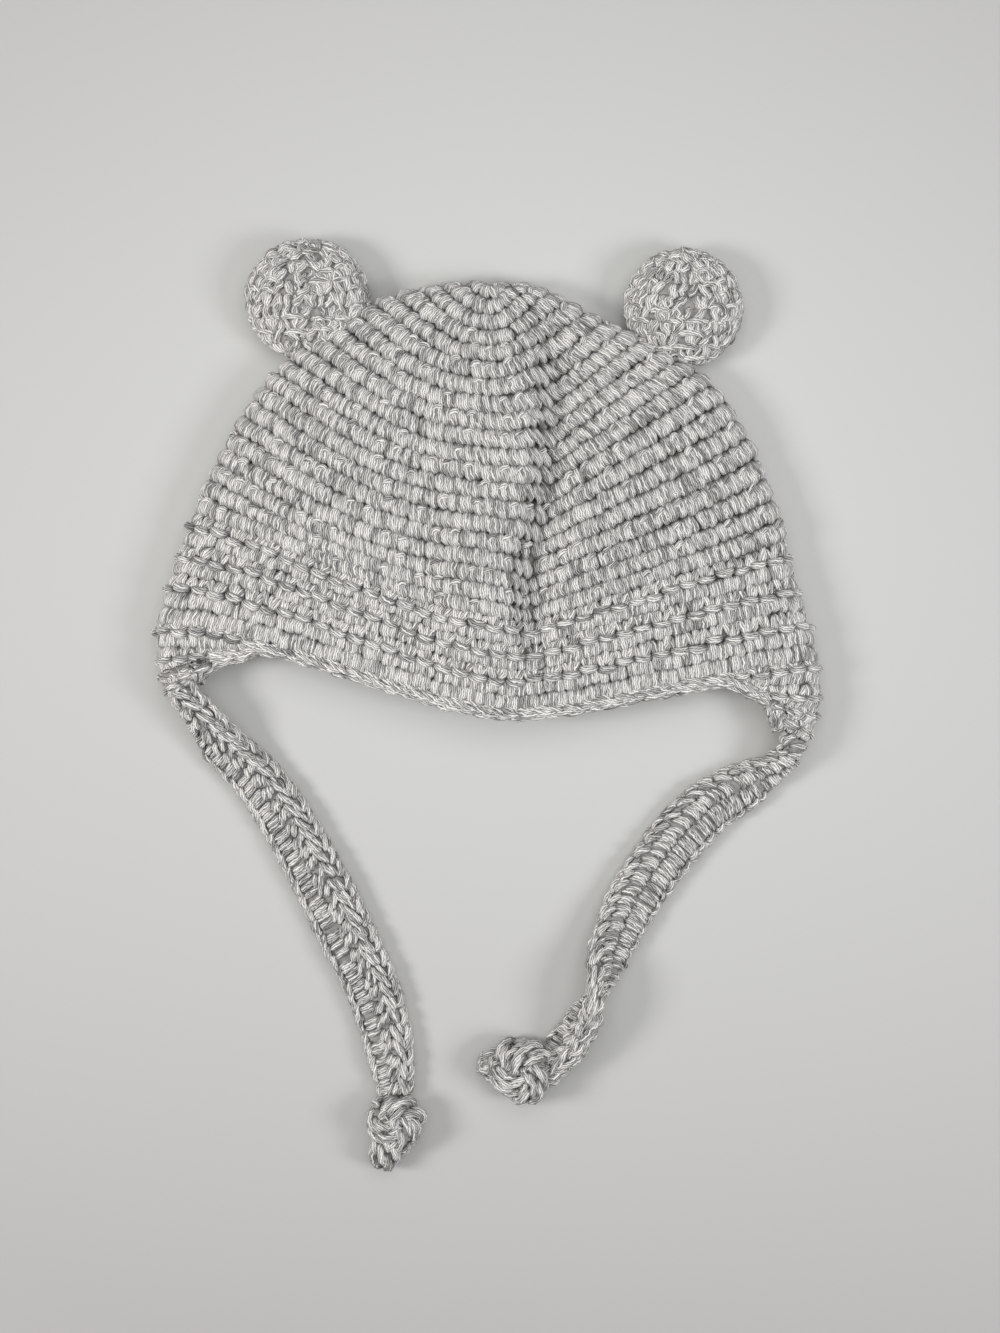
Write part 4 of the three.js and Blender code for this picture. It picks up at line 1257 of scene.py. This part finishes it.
def build_floor():
    material = new_material("floor_painted_light")
    place = add_node(material, "ShaderNodeNewGeometry").outputs["Position"]
    ends = ((0, place), (1, FLOOR_LIGHT_MIDDLE))
    away = add_node(material, "ShaderNodeVectorMath", ends, operation="DISTANCE")
    near, far = FLOOR_LIGHT_FALLOFF
    fade = (("Value", away.outputs["Value"]), ("From Min", near), ("From Max", far))
    share = add_node(material, "ShaderNodeMapRange", fade).outputs[0]
    # Painted light: the floor's colour is brightest at its middle and darkens outwards
    colour = colour_between(material, share, (0.625, 0.63, 0.615), (0.49, 0.48, 0.475))
    fill_shader(material, (("Base Color", colour), ("Roughness", 0.6), ("Specular IOR Level", 0.2)))
    data = bpy.data.meshes.new("floor")
    corners = [(x * FLOOR_HALF, y * FLOOR_HALF, 0) for x, y in ((-1, -1), (1, -1), (1, 1), (-1, 1))]
    data.from_pydata(corners, [], [(0, 1, 2, 3)])
    data.materials.append(material)
    stage = bpy.data.objects.new("floor", data)
    bpy.context.scene.collection.objects.link(stage)
    stage.location.z = FLOOR_Z


def place_camera():
    """The camera looks straight down at what the photo shows."""
    pixel = PHOTO["pixel"] * MM
    x, y = PHOTO["origin"]
    middle = ((PHOTO["across"] / 2 - x) * pixel, (y - PHOTO["down"] / 2) * pixel)
    camera = bpy.data.cameras.new("camera")
    camera.sensor_fit = "VERTICAL"
    camera.sensor_height = SENSOR
    camera.lens = SENSOR * CAMERA_DISTANCE / (PHOTO["down"] * pixel)
    holder = bpy.data.objects.new("camera", camera)
    holder.location = (*middle, CAMERA_DISTANCE + TRUE_HEIGHT)
    bpy.context.scene.collection.objects.link(holder)
    bpy.context.scene.camera = holder


def place_lights():
    """Soft studio light: a dim room and three lamps that point at the frame's origin."""
    world = bpy.data.worlds.new("room")
    world.use_nodes = True
    background = world.node_tree.nodes["Background"]
    background.inputs["Color"].default_value = (0.96, 0.98, 1.0, 1)
    background.inputs["Strength"].default_value = 0.2
    bpy.context.scene.world = world
    for name, place, size, power, colour in LIGHTS:
        light = bpy.data.lights.new(name, "AREA")
        light.size = size
        light.energy = power
        light.color = colour
        lamp = bpy.data.objects.new(name, light)
        lamp.location = place
        direction = -lamp.location
        lamp.rotation_euler = direction.to_track_quat("-Z", "Y").to_euler()
        bpy.context.scene.collection.objects.link(lamp)
    bpy.context.scene.view_settings.view_transform = "Standard"


build_floor()
place_camera()
place_lights()
cap = cap_skin()
build_cap(cap)
build_inside(cap)
flaps = {side: flap_faces(side, cap) for side in ("left", "right")}
for side, faces in flaps.items():
    build_tie(side, build_knot(f"knot_{side}"))
    build_flap(side, *faces)
build_edging("edging_front", cap, flaps, upper=True)
build_edging("edging_back", cap, flaps, upper=False)
for name in EARS:
    build_ear(name)
